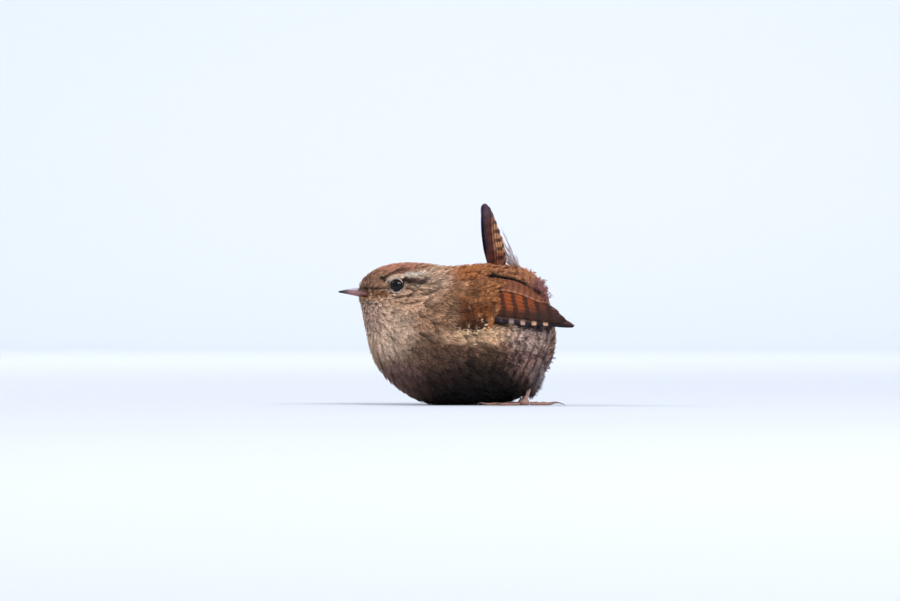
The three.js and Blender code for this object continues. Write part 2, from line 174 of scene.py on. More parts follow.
def ray(start, way):
    """How far it is from inside the body to the surface."""
    near = np.zeros(np.broadcast(start[..., 0], way[..., 0]).shape)
    far = near + LONGEST_RAY
    for _ in range(RAY_HALVINGS):
        middle = (near + far) / 2
        inside = height(start + way * middle[..., None]) < 0
        near, far = np.where(inside, middle, near), np.where(inside, far, middle)
    return near


def surface(u, v):
    """Surface point for u from forehead to vent and v once round, counted from the back."""
    core = CORE_FRONT + (CORE_REAR - CORE_FRONT) * ease(u, 0, 1)[..., None]
    along = unit(CORE_REAR - CORE_FRONT)
    up = np.array([-along[2], 0, along[0]])
    turn = np.pi * u
    way = -np.cos(turn)[..., None] * along + (np.sin(turn) * np.cos(v))[..., None] * up
    way = way + (np.sin(turn) * np.sin(v))[..., None] * np.array([0, 1.0, 0])
    return core + way * ray(core, way)[..., None]


print("masses", len(MASSES), "and crown height", round(float(surface(0.2, 0.0)[2]), 1), "mm")


# %% [markdown]
# ## Markings and painted shade
# A wren is brown above and buff below, with a pale brow, a dark stripe behind the eye and fine bars
# towards the rear. A painted image could carry that, but each feather needs the colour of its own
# place, so the pattern is a function of place and skin and feathers agree. Each patch is a soft
# ellipse seen from the side and each stroke a soft line, both with a given colour. The order
# is from the large areas to the fine marks of the face.

# %% Patches and strokes, in mm from the side
GROUND = "#a1825f"
PATCHES = [
    ("mantle", 7, 46, 17, 8, "#c98453", 1.0),
    ("nape", -8, 45, 9, 6, "#dcbda4", 0.9),
    ("rump", 23, 44, 15, 9, "#c88a64", 1.0),
    ("crown", -21, 51.5, 13, 5, "#c28a72", 1.0),
    ("breast", -21, 27, 15, 15, "#dfc0a6", 1.0),
    ("breast light", -24, 23, 6, 5.5, "#f2d8c0", 0.4),
    ("throat", -31, 32, 5, 8, "#c8a897", 0.9),
    ("breast side", -7, 31, 9, 8, "#bd9070", 0.8),
    ("breast shade", -3.6, 25.5, 4, 4, "#8a6852", 0.7),
    # Painted shade: the lower breast is darkened for the shade under the body.
    ("lower breast shade", -17, 9.5, 17, 8, "#876760", 0.9),
    ("flank front", -6, 19, 13, 7.5, "#7d5e4b", 0.9),
    # The flank's dark brown is partly its own colour and partly painted shade from below.
    ("flank", 10, 16, 22, 7, "#694e3e", 0.95),
    # Painted shade: the under flank and the near-black belly stand for the deep shade under the body, not
    # for their own buff colour.
    ("under flank shade", 9, 8.5, 26, 7.5, "#291a15", 0.9),
    ("belly", 9, 0, 29, 10, "#0b0506", 1.0),
    ("band edge", 8, 22.4, 19, 3.6, "#8f6c55", 0.7),
    ("band rear", 19.5, 22, 5, 3.6, "#b98d73", 0.75),
    ("flank band", 10, 25.0, 17, 3.3, "#f2caa2", 0.95),
    ("rear low", 29, 16, 10, 8, "#9c7a72", 0.9),
    ("rear flank", 28, 25, 10, 6.5, "#d3b6aa", 0.95),
    ("rear shade", 28.5, 29, 6, 3.0, "#54444a", 0.75),
    ("vent", 33, 10, 6, 7, "#94868a", 0.8),
    ("cheek", -17, 38.5, 12, 4.5, "#ecc4a4", 0.95),
    ("forehead", -30.5, 45.5, 4, 4, "#a07660", 0.9),
    ("lore", -27, 42.9, 4.5, 1.8, "#b2876c", 0.8),
    ("lore spot", -24.5, 43.8, 0.8, 1.0, "#cfae90", 0.9),
    ("rump end", 31.5, 41, 5, 6, "#9b6866", 0.9),
]
STROKES = [
    ("brow front", [(-23.6, 45.3), (-20.6, 46.5), (-17, 47.0)], 0.75, "#ecd0b8", 0.95),
    ("brow", [(-17.6, 46.7), (-14, 47.1), (-10.6, 47.6)], 0.8, "#fff0de", 0.95),
    ("crown edge", [(-26, 44.6), (-23.6, 47), (-20.7, 48.5), (-17.5, 49.2)], 0.45, "#3b241c", 0.85),
    ("crown notch", [(-26.2, 45.8), (-25.1, 44.6)], 0.65, "#1d1514", 1.0),
    ("lore line", [(-32.6, 42.2), (-29, 41.6), (-26, 41.9), (-23.4, 41.6)], 0.42, "#4a3127", 0.85),
    ("gape", [(-32, 40.1), (-28, 40.3), (-24.8, 39.8)], 0.9, "#8c5a3a", 0.9),
    ("chin edge", [(-33.5, 38.4), (-28, 38.6)], 0.6, "#b98a63", 0.8),
    ("ear stripe", [(-17.6, 45.1), (-15, 44.3), (-10.8, 44.6)], 1.1, "#43302b", 0.95),
    ("eye front", [(-23.6, 42.6), (-22.9, 41.1)], 0.45, "#2e211e", 0.8),
    ("cheek line", [(-23.4, 40.2), (-21, 38.7), (-15.5, 39.2)], 0.35, "#5a3a2c", 0.9),
    ("lower cheek line", [(-22, 37), (-15, 36.6), (-8, 38)], 0.4, "#7a563f", 0.8),
    ("ear line", [(-17.6, 42), (-13.5, 41.2), (-7.5, 41.8)], 0.4, "#573a2c", 0.9),
    ("low ear line", [(-16, 39.9), (-11, 39.6), (-6, 40.4)], 0.4, "#62432f", 0.85),
    ("neck line", [(-10, 43.2), (-5, 43)], 0.5, "#6b4b37", 0.7),
    # Painted shadow: a near-black line for the shaded gap between the back's feathers and the top of the
    # folded wing.
    ("wing slit shadow", [(13.5, 46.2), (21, 44.3), (29.5, 40.0)], 1.5, "#1a0d0a", 1.0),
]


def to_stroke(x, z, line):
    nearest = np.full(np.shape(x), 1e9)
    for (ax, az), (bx, bz) in zip(line, line[1:]):
        t = ((x - ax) * (bx - ax) + (z - az) * (bz - az)) / ((bx - ax) ** 2 + (bz - az) ** 2)
        t = np.clip(t, 0, 1)
        nearest = np.minimum(nearest, np.hypot(x - mix(ax, bx, t), z - mix(az, bz, t)))
    return nearest


def patched(p, colour, patches):
    """Lays soft ellipses of colour over a ground colour."""
    for _, cx, cz, rx, rz, tone, strength in patches:
        reach = np.hypot((p[..., 0] - cx) / rx, (p[..., 2] - cz) / rz)
        share = strength * (1 - ease(reach, 0.5, 1.3))
        colour = mix(colour, linear(tone), share[..., None])
    return colour


def plumage(p):
    """Linear colour of the coat at points in mm."""
    x, z = p[..., 0], p[..., 2]
    colour = patched(p, np.broadcast_to(linear(GROUND), p.shape), PATCHES)
    for _, line, half, tone, strength in STROKES:
        share = strength * (1 - ease(to_stroke(x, z, line), 0.5 * half, 1.5 * half))
        colour = mix(colour, linear(tone), share[..., None])
    return colour


print("patches", len(PATCHES), "strokes", len(STROKES))

# %% How strongly the fine cross bars show, from the plain face to the barred rear
BAR_SPACING = 2.3
BILL_BASE = np.array([-33.5, 0, 40.0])


def barring(p):
    x, z = p[..., 0], p[..., 2]
    rear = ease(x, 10, 24) * (1 - ease(z, 36, 44))
    under = ease(x, -6, 14) * (1 - ease(z, 14, 24))
    back = 0.35 * ease(x, -8, 6) * ease(z, 38, 46)
    return np.clip(0.05 + 0.9 * rear + 0.5 * under + 1.3 * back, 0, 0.95)


def mottle(p):
    """How much one feather differs from the next in tone."""
    x, z = p[..., 0], p[..., 2]
    cheek = (1 - ease(np.hypot((x + 15) / 11, (z - 40) / 6), 0.7, 1.2)) * 0.12
    under = ease(x, -16, -4) * (1 - ease(z, 20, 28)) * 0.3
    return 0.15 + cheek + under + ease(x, 6, 20) * 0.06


def bar_count(p):
    return np.linalg.norm(p - BILL_BASE, axis=-1) / BAR_SPACING


print("bars from bill to tail", round(float(bar_count(np.array([18.0, 0, 50.0])))))

# %% [markdown]
# ## Materials
# Feather is keratin in thin barbs: matt, with a faint sheen where light grazes it. Horn and scale are
# the same stuff made dense, so they take a dull polish. The eye is wet. Colour could be stored on
# the mesh alone, but bars would then blur between its points. So barred feathers read four facts
# from the mesh: the ground tint, the mark's colour, the running count of bars and how strong they
# are. The material draws the bars from them, sharp at any distance.

# %% One function to add a node
def node(tree, kind, settings=None, **links):
    """Adds a node. Links name an input by its name or number; values are sockets or numbers."""
    made = tree.nodes.new(kind)
    for key, value in (settings or {}).items():
        setattr(made, key, value)
    for key, value in links.items():
        place = int(key[1:]) if key[1:].isdigit() and key[0] == "i" else key.replace("_", " ")
        socket = made.inputs[place]
        if isinstance(value, bpy.types.NodeSocket):
            tree.links.new(value, socket)
        else:
            socket.default_value = value
    return made


def new_material(name, **shader_values):
    made = bpy.data.materials.new(name)
    made.use_nodes = True
    tree = made.node_tree
    shader = tree.nodes["Principled BSDF"]
    for key, value in shader_values.items():
        shader.inputs[key.replace("_", " ")].default_value = value
    return made, tree, shader


# %% Feather materials
def feather_material(name, barb_lines, wavy, **shader_values):
    made, tree, shader = new_material(name, **shader_values)
    tint = node(tree, "ShaderNodeAttribute", {"attribute_name": "tint"})
    mark = node(tree, "ShaderNodeAttribute", {"attribute_name": "mark"})
    bar = node(tree, "ShaderNodeAttribute", {"attribute_name": "bar"})
    depth = node(tree, "ShaderNodeAttribute", {"attribute_name": "depth"})
    spot = node(tree, "ShaderNodeTexCoord")
    # Waver of the bars, about 1.5 mm from crest to crest.
    waver = node(tree, "ShaderNodeTexNoise", Vector=spot.outputs["Object"], Scale=650.0, Detail=2.0)
    moved = node(tree, "ShaderNodeMath", {"operation": "MULTIPLY_ADD"},
                 i0=waver.outputs["Fac"], i1=wavy, i2=bar.outputs["Fac"])
    part = node(tree, "ShaderNodeMath", {"operation": "FRACT"}, i0=moved.outputs[0])
    centred = node(tree, "ShaderNodeMath", {"operation": "SUBTRACT"}, i0=part.outputs[0], i1=0.5)
    off = node(tree, "ShaderNodeMath", {"operation": "ABSOLUTE"}, i0=centred.outputs[0])
    edge = node(tree, "ShaderNodeMapRange", {"interpolation_type": "SMOOTHSTEP"},
                Value=off.outputs[0], From_Min=0.22, From_Max=0.36)
    share = node(tree, "ShaderNodeMath", {"operation": "MULTIPLY"},
                 i0=edge.outputs[0], i1=depth.outputs["Fac"])
    barred = node(tree, "ShaderNodeMix", {"data_type": "RGBA"},
                  i0=share.outputs[0], i6=tint.outputs["Color"], i7=mark.outputs["Color"])
    # Uneven tone from barb to barb, about 0.6 mm across.
    grain = node(tree, "ShaderNodeTexNoise", Vector=spot.outputs["Object"], Scale=1600.0, Detail=3.0)
    tone = node(tree, "ShaderNodeMapRange", Value=grain.outputs["Fac"],
                From_Min=0.3, From_Max=0.7, To_Min=0.8, To_Max=1.18)
    toned = node(tree, "ShaderNodeMix", {"data_type": "RGBA", "blend_type": "MULTIPLY"},
                 i0=1.0, i6=barred.outputs[2], i7=tone.outputs[0])
    tree.links.new(toned.outputs[2], shader.inputs["Base Color"])
    if barb_lines:
        # Real barbs lie 0.15 mm apart. They are drawn 0.45 mm apart, or they would not show.
        along = node(tree, "ShaderNodeAttribute", {"attribute_name": "barb"})
        wave = node(tree, "ShaderNodeMath", {"operation": "SINE"}, i0=along.outputs["Fac"])
        bump = node(tree, "ShaderNodeBump", Strength=0.35, Distance=0.00006, Height=wave.outputs[0])
        tree.links.new(bump.outputs[0], shader.inputs["Normal"])
    return made


# Body down: loose barbs scatter light every way, so it looks matt with a faint soft rim.
down_feather = feather_material("soft_body_feather", False, 0.9, Roughness=0.88, IOR=1.5,
                                Specular_IOR_Level=0.08, Sheen_Weight=0.06, Sheen_Roughness=0.5)
# Small coverts: closer barbs lie flatter, so they shine a little where light grazes them.
covert_feather = feather_material("small_covert_feather", False, 0.4, Roughness=0.75, IOR=1.5,
                                  Specular_IOR_Level=0.15, Sheen_Weight=0.03)
# Flight feathers: hooked barbs make a firm sheet with a low satin shine across fine lines.
flight_feather = feather_material("flat_flight_feather", True, 0.18, Roughness=0.6, IOR=1.54,
                                  Specular_IOR_Level=0.13)
print("feather materials", down_feather.name, covert_feather.name, flight_feather.name)


# %% Horn, scale and eye
def tinted_material(name, grain_scale, relief, **shader_values):
    """Colour from the tint on the mesh, grain in cells per metre and relief in metres."""
    made, tree, shader = new_material(name, **shader_values)
    tint = node(tree, "ShaderNodeAttribute", {"attribute_name": "tint"})
    spot = node(tree, "ShaderNodeTexCoord")
    grain = node(tree, "ShaderNodeTexNoise", Vector=spot.outputs["Object"],
                 Scale=grain_scale, Detail=4.0)
    tone = node(tree, "ShaderNodeMapRange", Value=grain.outputs["Fac"],
                From_Min=0.3, From_Max=0.7, To_Min=0.82, To_Max=1.15)
    toned = node(tree, "ShaderNodeMix", {"data_type": "RGBA", "blend_type": "MULTIPLY"},
                 i0=1.0, i6=tint.outputs["Color"], i7=tone.outputs[0])
    bump = node(tree, "ShaderNodeBump", Strength=0.5, Distance=relief, Height=grain.outputs["Fac"])
    tree.links.new(toned.outputs[2], shader.inputs["Base Color"])
    tree.links.new(bump.outputs[0], shader.inputs["Normal"])
    return made


# Bill horn: dense keratin with a dull polish. Light sinks in a little at the pale base.
bill_horn = tinted_material("bill_horn", 900.0, 0.00003, Roughness=0.36, IOR=1.54,
                            Subsurface_Weight=0.08, Subsurface_Scale=0.0006)
# Leg skin: dry scales, so the shine is broken up and soft.
leg_scale = tinted_material("leg_scale_skin", 1500.0, 0.00004, Roughness=0.5, IOR=1.5,
                            Subsurface_Weight=0.1, Subsurface_Scale=0.0006)
# Claw horn: the same stuff as the bill, thinner and darker towards the point.
claw_horn = tinted_material("claw_horn", 1100.0, 0.00002, Roughness=0.4, IOR=1.54)
# Cornea: wet and clear over a dark iris, so it mirrors a light as one sharp point.
wet_eye = tinted_material("wet_eye", 300.0, 0.0, Roughness=0.03, IOR=1.376, Specular_IOR_Level=0.38)
print("materials", len(bpy.data.materials))

# %% [markdown]
# ## The skin
# Under the coat lies one closed skin for head, neck and trunk. The solids of the three could be
# shrunk and joined, but the seams would show. So rays from a line inside the body find the surface
# of the formula, in rings that give an even mesh and a simple unwrap. The skin lies inside the
# solids by the depth of the coat: under a millimetre round the bill and eye and three on the body.
# It wears the same markings, so a gap between feathers never shows a different colour.

# %% Places of the eye and the bill
EYE = {"x": -21.1, "z": 42.95, "radius": 3.0, "shown": 2.22, "forward": 0.25, "up": 0.1}
BILL = {
    "x": (-31.3, -33.8, -36.5, -39.4, -41.9),
    "top": (42.25, 42.25, 42.05, 41.5, 41.05),
    "mouth": (39.6, 39.9, 40.2, 40.5, 40.7),
    "bottom": (38.4, 38.8, 39.4, 40.0, 40.4),
    "width": (3.8, 3.4, 2.4, 1.3, 0.4),
}


def at_bill(name, x):
    return np.interp(-x, -np.array(BILL["x"]), BILL[name])


def beside_bill(p, margin):
    """True between the heights of the bill's top and underside, less a margin."""
    x, z = p[..., 0], p[..., 2]
    return (z < at_bill("top", x) - margin) & (z > at_bill("bottom", x) + margin)


print("bill length", round(BILL["x"][0] - BILL["x"][-1], 1), "mm")


# %% Depth of the coat
def coat_depth(p):
    from_bill = np.linalg.norm(p - BILL_BASE, axis=-1)
    from_eye = np.linalg.norm(np.stack([p[..., 0] - EYE["x"], p[..., 2] - EYE["z"]], -1), axis=-1)
    on_head = 1 - ease(from_bill, 16, 30)
    depth = mix(3.0, 1.1, on_head)
    depth = depth * mix(0.45, 1, ease(from_bill, 2, 9))
    return depth * mix(1, mix(0.5, 1, ease(from_eye, 2.5, 6)), on_head)


# %% The skin's points
RINGS, SPOKES = 130, 120
SKIN_FLOOR = 0.6
TUCKED_HALF = 1.0
u_rows = np.linspace(0.006, 0.994, RINGS)
v_columns = np.arange(SPOKES) / SPOKES * 2 * np.pi
U, V = np.meshgrid(u_rows, v_columns, indexing="ij")
outer = surface(U, V)
skin_points = outer - unit(slope(outer)) * coat_depth(outer)[..., None]
skin_points[..., 2] = np.maximum(skin_points[..., 2], SKIN_FLOOR)
# Beside the bill the skin keeps inside the horn, so that the bill shows back to its corner.
tuck = beside_bill(skin_points, 0.1) * (1 - ease(skin_points[..., 0], -31.8, -30.6))
narrow = np.clip(skin_points[..., 1], -TUCKED_HALF, TUCKED_HALF)
skin_points[..., 1] = mix(skin_points[..., 1], narrow, tuck)
skin_flat, skin_faces = rolled(skin_points)
print("skin height", round(float(np.ptp(skin_flat[:, 2])), 1), "mm")


# %% The skin with its markings and unwrap
def corner_uv(rows, columns):
    """UV for each corner of rolled(), in its order: columns run round U and rows along V."""
    i, j = np.meshgrid(np.arange(rows - 1), np.arange(columns), indexing="ij")
    pairs = [(i + 1, j), (i + 1, j + 1), (i, j + 1), (i, j)]
    walls = np.stack([np.stack([b / columns, a / (rows - 1)], -1) for a, b in pairs], -2)
    around = np.arange(columns) / columns
    first = np.stack([around, np.zeros(columns)], -1)
    last = np.stack([around[::-1], np.ones(columns)], -1)
    return np.concatenate([walls.reshape(-1, 2), first, last])


def feather_facts(p, extra_dark=1.0, shifted=0):
    """Tints and bars for points. A shift per feather gives marks the ragged edge that real ones have."""
    ground = plumage(p + shifted) * extra_dark
    dark = ground * np.array([0.3, 0.26, 0.25])
    return {"tint": ground, "mark": dark, "bar": bar_count(p), "depth": barring(p)}


skin = piece("skin", skin_flat, skin_faces, down_feather,
             feather_facts(skin_flat, 0.5), corner_uv(RINGS, SPOKES), ("head", "neck", "torso"))
print("skin", len(skin_flat), "points")

# %% [markdown]
# ## The lie of the coat
# Feathers point away from the bill, over the head and down the body. Behind the tail they turn up
# towards its root, because the tail is cocked. Blender's hair could grow here, but a hair has no
# vane, and a kept part needs meshes. So roots are scattered by trying random places and keeping
# those that are far enough from the ones kept before: close on the face, wider on the body.

# %% Which way a feather lies
TAIL_ROOT = np.array([19.0, 0, 62.0])


def lie(p, normal):
    away = unit(p - BILL_BASE)
    to_tail = unit(TAIL_ROOT - p)
    share = ease(p[..., 0], 17, 29) * ease(p[..., 2], 12, 24)
    way = mix(away, to_tail, share[..., None])
    way = way - normal * (way * normal).sum(-1, keepdims=True)
    return unit(way)


def on_head(p):
    return 1 - ease(np.linalg.norm(p - BILL_BASE, axis=-1), 10, 30)


print("way on the crown", lie(np.array([-18.0, 0, 50.0]), np.array([0, 0, 1.0])).round(2))

# %% Where body feathers may stand
WING_AXIS_Z = 27
WING_EDGE_INSET = 7
WING_EDGE_RAGGED = 1.5
TAIL_FOOT = np.array([14.6, 0, 51.5])
TAIL_FOOT_HALF = (3.6, 2.6, 4)
EYE_CLEAR = 2.7
BILL_CORNER_X = -31.9


def on_wing(p, inset):
    """True where the folded wing covers the body, inset from its edges in degrees."""
    angle = np.degrees(np.arctan2(np.abs(p[..., 1]), p[..., 2] - WING_AXIS_Z))
    x = p[..., 0]
    top = np.interp(x, [-4, 3, 12, 32], [50, 42, 39, 38]) + inset
    low = np.interp(x, [-4, 3, 32], [82, 90, 90]) - inset
    return (x > -2.0 + inset / 4) & (x < 34) & (angle > top) & (angle < low)


def keep_root(p):
    from_eye = np.hypot(p[..., 0] - EYE["x"], p[..., 2] - EYE["z"])
    eye_clear = (from_eye > EYE_CLEAR) | (np.abs(p[..., 1]) < 5)
    tail_clear = np.linalg.norm((p - TAIL_FOOT) / TAIL_FOOT_HALF, axis=-1) > 1
    bill_clear = (p[..., 0] > BILL_CORNER_X) | ~beside_bill(p, -0.05)
    ragged = p + rng.normal(0, 1, p.shape) * (WING_EDGE_RAGGED, 0, 0)
    wing_clear = ~on_wing(ragged, WING_EDGE_INSET)
    return eye_clear & tail_clear & bill_clear & wing_clear & (p[..., 2] > 0.3)


# %% Scattered roots
SCATTER_GRID = 160


def scatter(count):
    """Random places on the outer surface, even by area, as u, v and points."""
    u = np.linspace(0.004, 0.996, SCATTER_GRID)
    v = np.linspace(0, 2 * np.pi, SCATTER_GRID, endpoint=False)
    gu, gv = np.meshgrid(u, v, indexing="ij")
    p = surface(gu, gv)
    du = np.gradient(p, axis=0)
    dv = (np.roll(p, -1, axis=1) - np.roll(p, 1, axis=1)) / 2
    area = np.linalg.norm(np.cross(du, dv), axis=-1).ravel()
    cell = rng.choice(area.size, count, p=area / area.sum())
    pu = np.clip(gu.ravel()[cell] + rng.uniform(-0.5, 0.5, count) * (u[1] - u[0]), 0.003, 0.997)
    pv = gv.ravel()[cell] + rng.uniform(-0.5, 0.5, count) * (v[1] - v[0])
    return pu, pv, surface(pu, pv)


def spaced(points, gap):
    """Indices of points kept so that none is nearer to an earlier one than its gap."""
    cells = {}
    kept = []
    keys = np.floor(points / float(gap.max())).astype(int).tolist()
    for n, (place, key, near) in enumerate(zip(points, keys, gap)):
        around = itertools.product(*((k - 1, k, k + 1) for k in key))
        others = [other for cell in around for other in cells.get(cell, ())]
        if not others or (((place - np.array(others)) ** 2).sum(axis=1) >= near * near).all():
            cells.setdefault(tuple(key), []).append(place)
            kept.append(n)
    return np.array(kept)


FACE_GAP, BODY_GAP = 0.6, 1.22
ROOT_TRIES = 26000
root_u, root_v, root_p = scatter(ROOT_TRIES)
wanted = keep_root(root_p)
root_u, root_v, root_p = root_u[wanted], root_v[wanted], root_p[wanted]
chosen = spaced(root_p, mix(BODY_GAP, FACE_GAP, on_head(root_p)))
root_u, root_v, root_p = root_u[chosen], root_v[chosen], root_p[chosen]
print("body feathers", len(root_p))

# %% [markdown]
# ## Building tufts
# A body feather is a soft shaft with barbs that fan out and curl, with no stiff vane. A flat card
# with a see-through image is the usual short cut, but it looks cut out in a close view. Each feather
# is built here as closed three-sided barbs along a shaft that follows the surface. The barb tips
# trace an oval, so the tuft has the outline of a feather but a loose edge, as down has.

# %% Barbs from shafts
STATIONS = 6
BARB_POINTS = 7
BARB_HALF = 0.125
BARB_THICK = 0.08
BARB_ARCH = 16


def along(values, fraction):
    """Values at a fraction of the way along each shaft; fraction is (feathers, n)."""
    t = fraction * (STATIONS - 1)
    i = np.clip(np.floor(t).astype(int), 0, STATIONS - 2)
    rows = np.arange(len(values))[:, None]
    share = (t - i)[..., None]
    return values[rows, i] * (1 - share) + values[rows, i + 1] * share


def tufts(shaft, across, up, spread, barbs, loose, first=0.12):
    """Points (feathers, barbs, BARB_POINTS, 3), fraction along and share across for each point."""
    n = len(shaft)
    order = np.arange(barbs)
    start = mix(first, 0.93, order / (barbs - 1)) + rng.uniform(-0.02, 0.02, (n, barbs))
    hand = np.where(order % 2, 1.0, -1.0)
    end = np.minimum(start + mix(0.36, 0.2, start) + rng.uniform(-0.03, 0.03, (n, barbs)), 1.03)
    oval = np.sqrt(np.clip(1 - ((end - 0.6) / 0.46) ** 2, 0.01, 1))
    wide = hand * oval * spread[:, None] * rng.uniform(0.82, 1.12, (n, barbs))
    start[:, -1], end[:, -1], wide[:, -1] = first, 1.0, 0.0
    rise = rng.uniform(-loose, loose, (n, barbs))
    fractions = [start, mix(start, end, 0.5), end]
    sides = [np.zeros_like(wide), 0.64 * wide, wide]
    lifts = [np.zeros_like(wide), rise * 0.6 - sides[1] ** 2 / BARB_ARCH,
             rise * 1.5 - wide ** 2 / BARB_ARCH]
    places, ups = [], []
    for f, w, lift in zip(fractions, sides, lifts):
        a, b = along(across, f), along(up, f)
        places.append(along(shaft, f) + a * w[..., None] + b * lift[..., None])
        ups.append(b)
    points = np.empty((n, barbs, BARB_POINTS, 3))
    for k, half in ((0, BARB_HALF * 0.8), (1, BARB_HALF)):
        flat = unit(np.cross(ups[k], places[k + 1] - places[k])) * half
        points[:, :, 3 * k] = places[k] - flat
        points[:, :, 3 * k + 1] = places[k] + flat
        points[:, :, 3 * k + 2] = places[k] + ups[k] * BARB_THICK
    points[:, :, 6] = places[2]
    share = np.stack([fractions[0]] * 3 + [fractions[1]] * 3 + [fractions[2]], -1)
    side = np.stack([sides[0]] * 3 + [sides[1]] * 3 + [sides[2]], -1) / spread[:, None, None]
    return points, share, side


# %% Tufts joined to one mesh
BARB_FACES = np.array([
    [0, 2, 1], [0, 1, 4], [0, 4, 3], [1, 2, 5], [1, 5, 4],
    [2, 0, 3], [2, 3, 5], [3, 4, 6], [4, 5, 6], [5, 3, 6],
])
PATCH = 0.003
COAT_FLOOR = 0.05


def coat_piece(name, points, share, side, root_uv, material, facts):
    """Joins tufts to one mesh. Each tuft's bake patch lies at its root on the skin's unwrap."""
    count = points.shape[0] * points.shape[1]
    faces = (BARB_FACES[None] + BARB_POINTS * np.arange(count)[:, None, None]).reshape(-1, 3)
    flat = points.reshape(-1, 3)
    flat[:, 2] = np.maximum(flat[:, 2], COAT_FLOOR)
    patch = np.stack([side * 0.5, share - 0.5], -1) * PATCH + root_uv[:, None, None]
    bake = patch.reshape(-1, 2)[faces.ravel()]
    piece(name, flat, [faces], material, facts, bake)
    print(name, len(faces), "triangles")


# %% [markdown]
# ## The body coat
# One feather could be copied over the whole bird, but real ones are small on the face, long and
# soft on the flanks, and all differ. So each has its own shaft, which starts on the skin and rises
# to the outer surface at its tip, and the feathers lie like slates. They lie flat on the head and
# back. At the rump and vent they stand looser, which gives the ragged edge behind the tail. The coat
# is cut into parts by where it grows, so that no mesh grows too large to handle.

# %% Shafts on the body
def body_shafts(p, length, tip_lift, sway):
    normal = unit(slope(p))
    way = lie(p, normal)
    side = np.cross(normal, way)
    turn = rng.normal(0, 1, len(p)) * sway
    way = unit(way * np.cos(turn)[:, None] + side * np.sin(turn)[:, None])
    depth = coat_depth(p)
    steps = np.linspace(0, 1, STATIONS)
    shaft = np.empty((len(p), STATIONS, 3))
    ups = np.empty_like(shaft)
    place = settle(p, -depth)
    for k, f in enumerate(steps):
        if k:
            n = unit(slope(place))
            step = unit(way - n * (way * n).sum(-1, keepdims=True))
            place = place + step * (length / (STATIONS - 1))[:, None]
            over = -depth * (1 - f) ** 1.2 + tip_lift * f ** 2 + puff(place) * f
            place = settle(place, over, 2)
        shaft[:, k] = place
        ups[:, k] = unit(slope(place))
    run = unit(np.gradient(shaft, axis=1))
    across = unit(np.cross(ups, run))
    return shaft, across, unit(np.cross(run, across))


# %% Length, swell and looseness of the coat from place to place
def feather_length(p):
    x, z = p[..., 0], p[..., 2]
    length = mix(8.5, 2.6, on_head(p))
    length = length + 2.0 * ease(x, 10, 26) * (1 - ease(z, 34, 44))
    length = length * mix(0.5, 1, ease(np.linalg.norm(p - BILL_BASE, axis=-1), 1, 8))
    length = length + 1.6 * ease(-x, 14, 24) * (1 - ease(z, 33, 38))
    near_eye = 1 - ease(np.hypot(x - EYE["x"], z - EYE["z"]), 3, 6)
    return length * mix(1, 0.6, near_eye * on_head(p))


def puff(p):
    """Extra height where the flank and breast feathers swell over the edges of the wing."""
    x = p[..., 0]
    angle = np.degrees(np.arctan2(np.abs(p[..., 1]), p[..., 2] - WING_AXIS_Z))
    low = (1 - ease(np.abs(angle - 92), 3, 22)) * ease(x, -9, 1) * (1 - ease(x, 20, 29))
    front = (1 - ease(np.abs(x + 2), 1, 8)) * ease(angle, 36, 56) * (1 - ease(angle, 92, 108))
    return 1.9 * low + 1.5 * front * (1 - low)


def looseness(p):
    x, z = p[..., 0], p[..., 2]
    rump = ease(x, 17, 28) * ease(z, 36, 46)
    vent = ease(x, 22, 33) * (1 - ease(z, 8, 24))
    return np.clip(0.05 + 0.9 * rump + 0.3 * vent, 0, 1)


print("feather on the breast", round(float(feather_length(np.array([-20.0, 0, 20.0]))), 1), "mm")

# %% The coat, part by part
TONE_LIMIT = 1.35
REGIONS = [
    ("coat_head", lambda p: on_head(p) > 0.45),
    ("coat_back", lambda p: (p[:, 2] > 38) & (p[:, 0] < 14)),
    ("coat_rump", lambda p: (p[:, 2] > 32) & (p[:, 0] >= 14)),
    ("coat_vent", lambda p: p[:, 0] > 22),
    ("coat_breast", lambda p: (p[:, 0] < -12) & (p[:, 2] > 14)),
    ("coat_belly", lambda p: p[:, 2] < 12),
    ("coat_flank_left", lambda p: p[:, 1] < 0),
    ("coat_flank_right", lambda p: p[:, 1] >= 0),
]
left_over = np.ones(len(root_p), bool)
for name, rule in REGIONS:
    here = left_over & rule(root_p)
    left_over &= ~here
    p = root_p[here]
    small = on_head(p)
    length = feather_length(p) * rng.uniform(0.88, 1.15, len(p))
    loose = looseness(p)
    shaft, across, up = body_shafts(p, length, mix(0.25, 0.08, small) + 1.3 * loose * rng.random(len(p)),
                                    mix(0.16, 0.1, small) + 0.1 * loose)
    spread = length * mix(0.22, mix(0.2, 0.3, ease(p[:, 2], 33, 38)), small)
    barbs = 14 if name == "coat_head" else 24
    points, share, side = tufts(shaft, across, up, spread, barbs, 0.1 + 0.25 * float(loose.mean()))
    flat = points.reshape(-1, 3)
    shifted = rng.normal(0, 1, (len(p), 3)) * mix(0.5, 0.22, small)[:, None]
    facts = feather_facts(flat, 1.0, np.repeat(shifted, barbs * BARB_POINTS, axis=0))
    each = np.exp(rng.normal(0, 1, (len(p), 1, 1)) * mottle(p)[:, None, None]
                  + rng.normal(0, 0.7, points.shape[:2] + (1,)) * mottle(p)[:, None, None])
    base_tone = mix(0.62, 0.8, ease(-p[:, 0], 0, 12)) + 0.1 * ease(-p[:, 0], 14, 24) * (p[:, 2] < 38)
    inner = mix(base_tone[:, None, None], 1.06, ease(share, 0.2, 0.9))
    tone = np.minimum(each * inner, TONE_LIMIT).reshape(-1, 1)
    facts["tint"] = facts["tint"] * tone
    facts["mark"] = facts["mark"] * tone
    facts["bar"] = facts["bar"] + np.repeat(rng.normal(0, 0.27, len(p)), barbs * BARB_POINTS)
    uv = np.stack([root_v[here] / (2 * np.pi) % 1.0, root_u[here]], -1)
    coat_piece(name, points, share, side, uv, down_feather, facts)

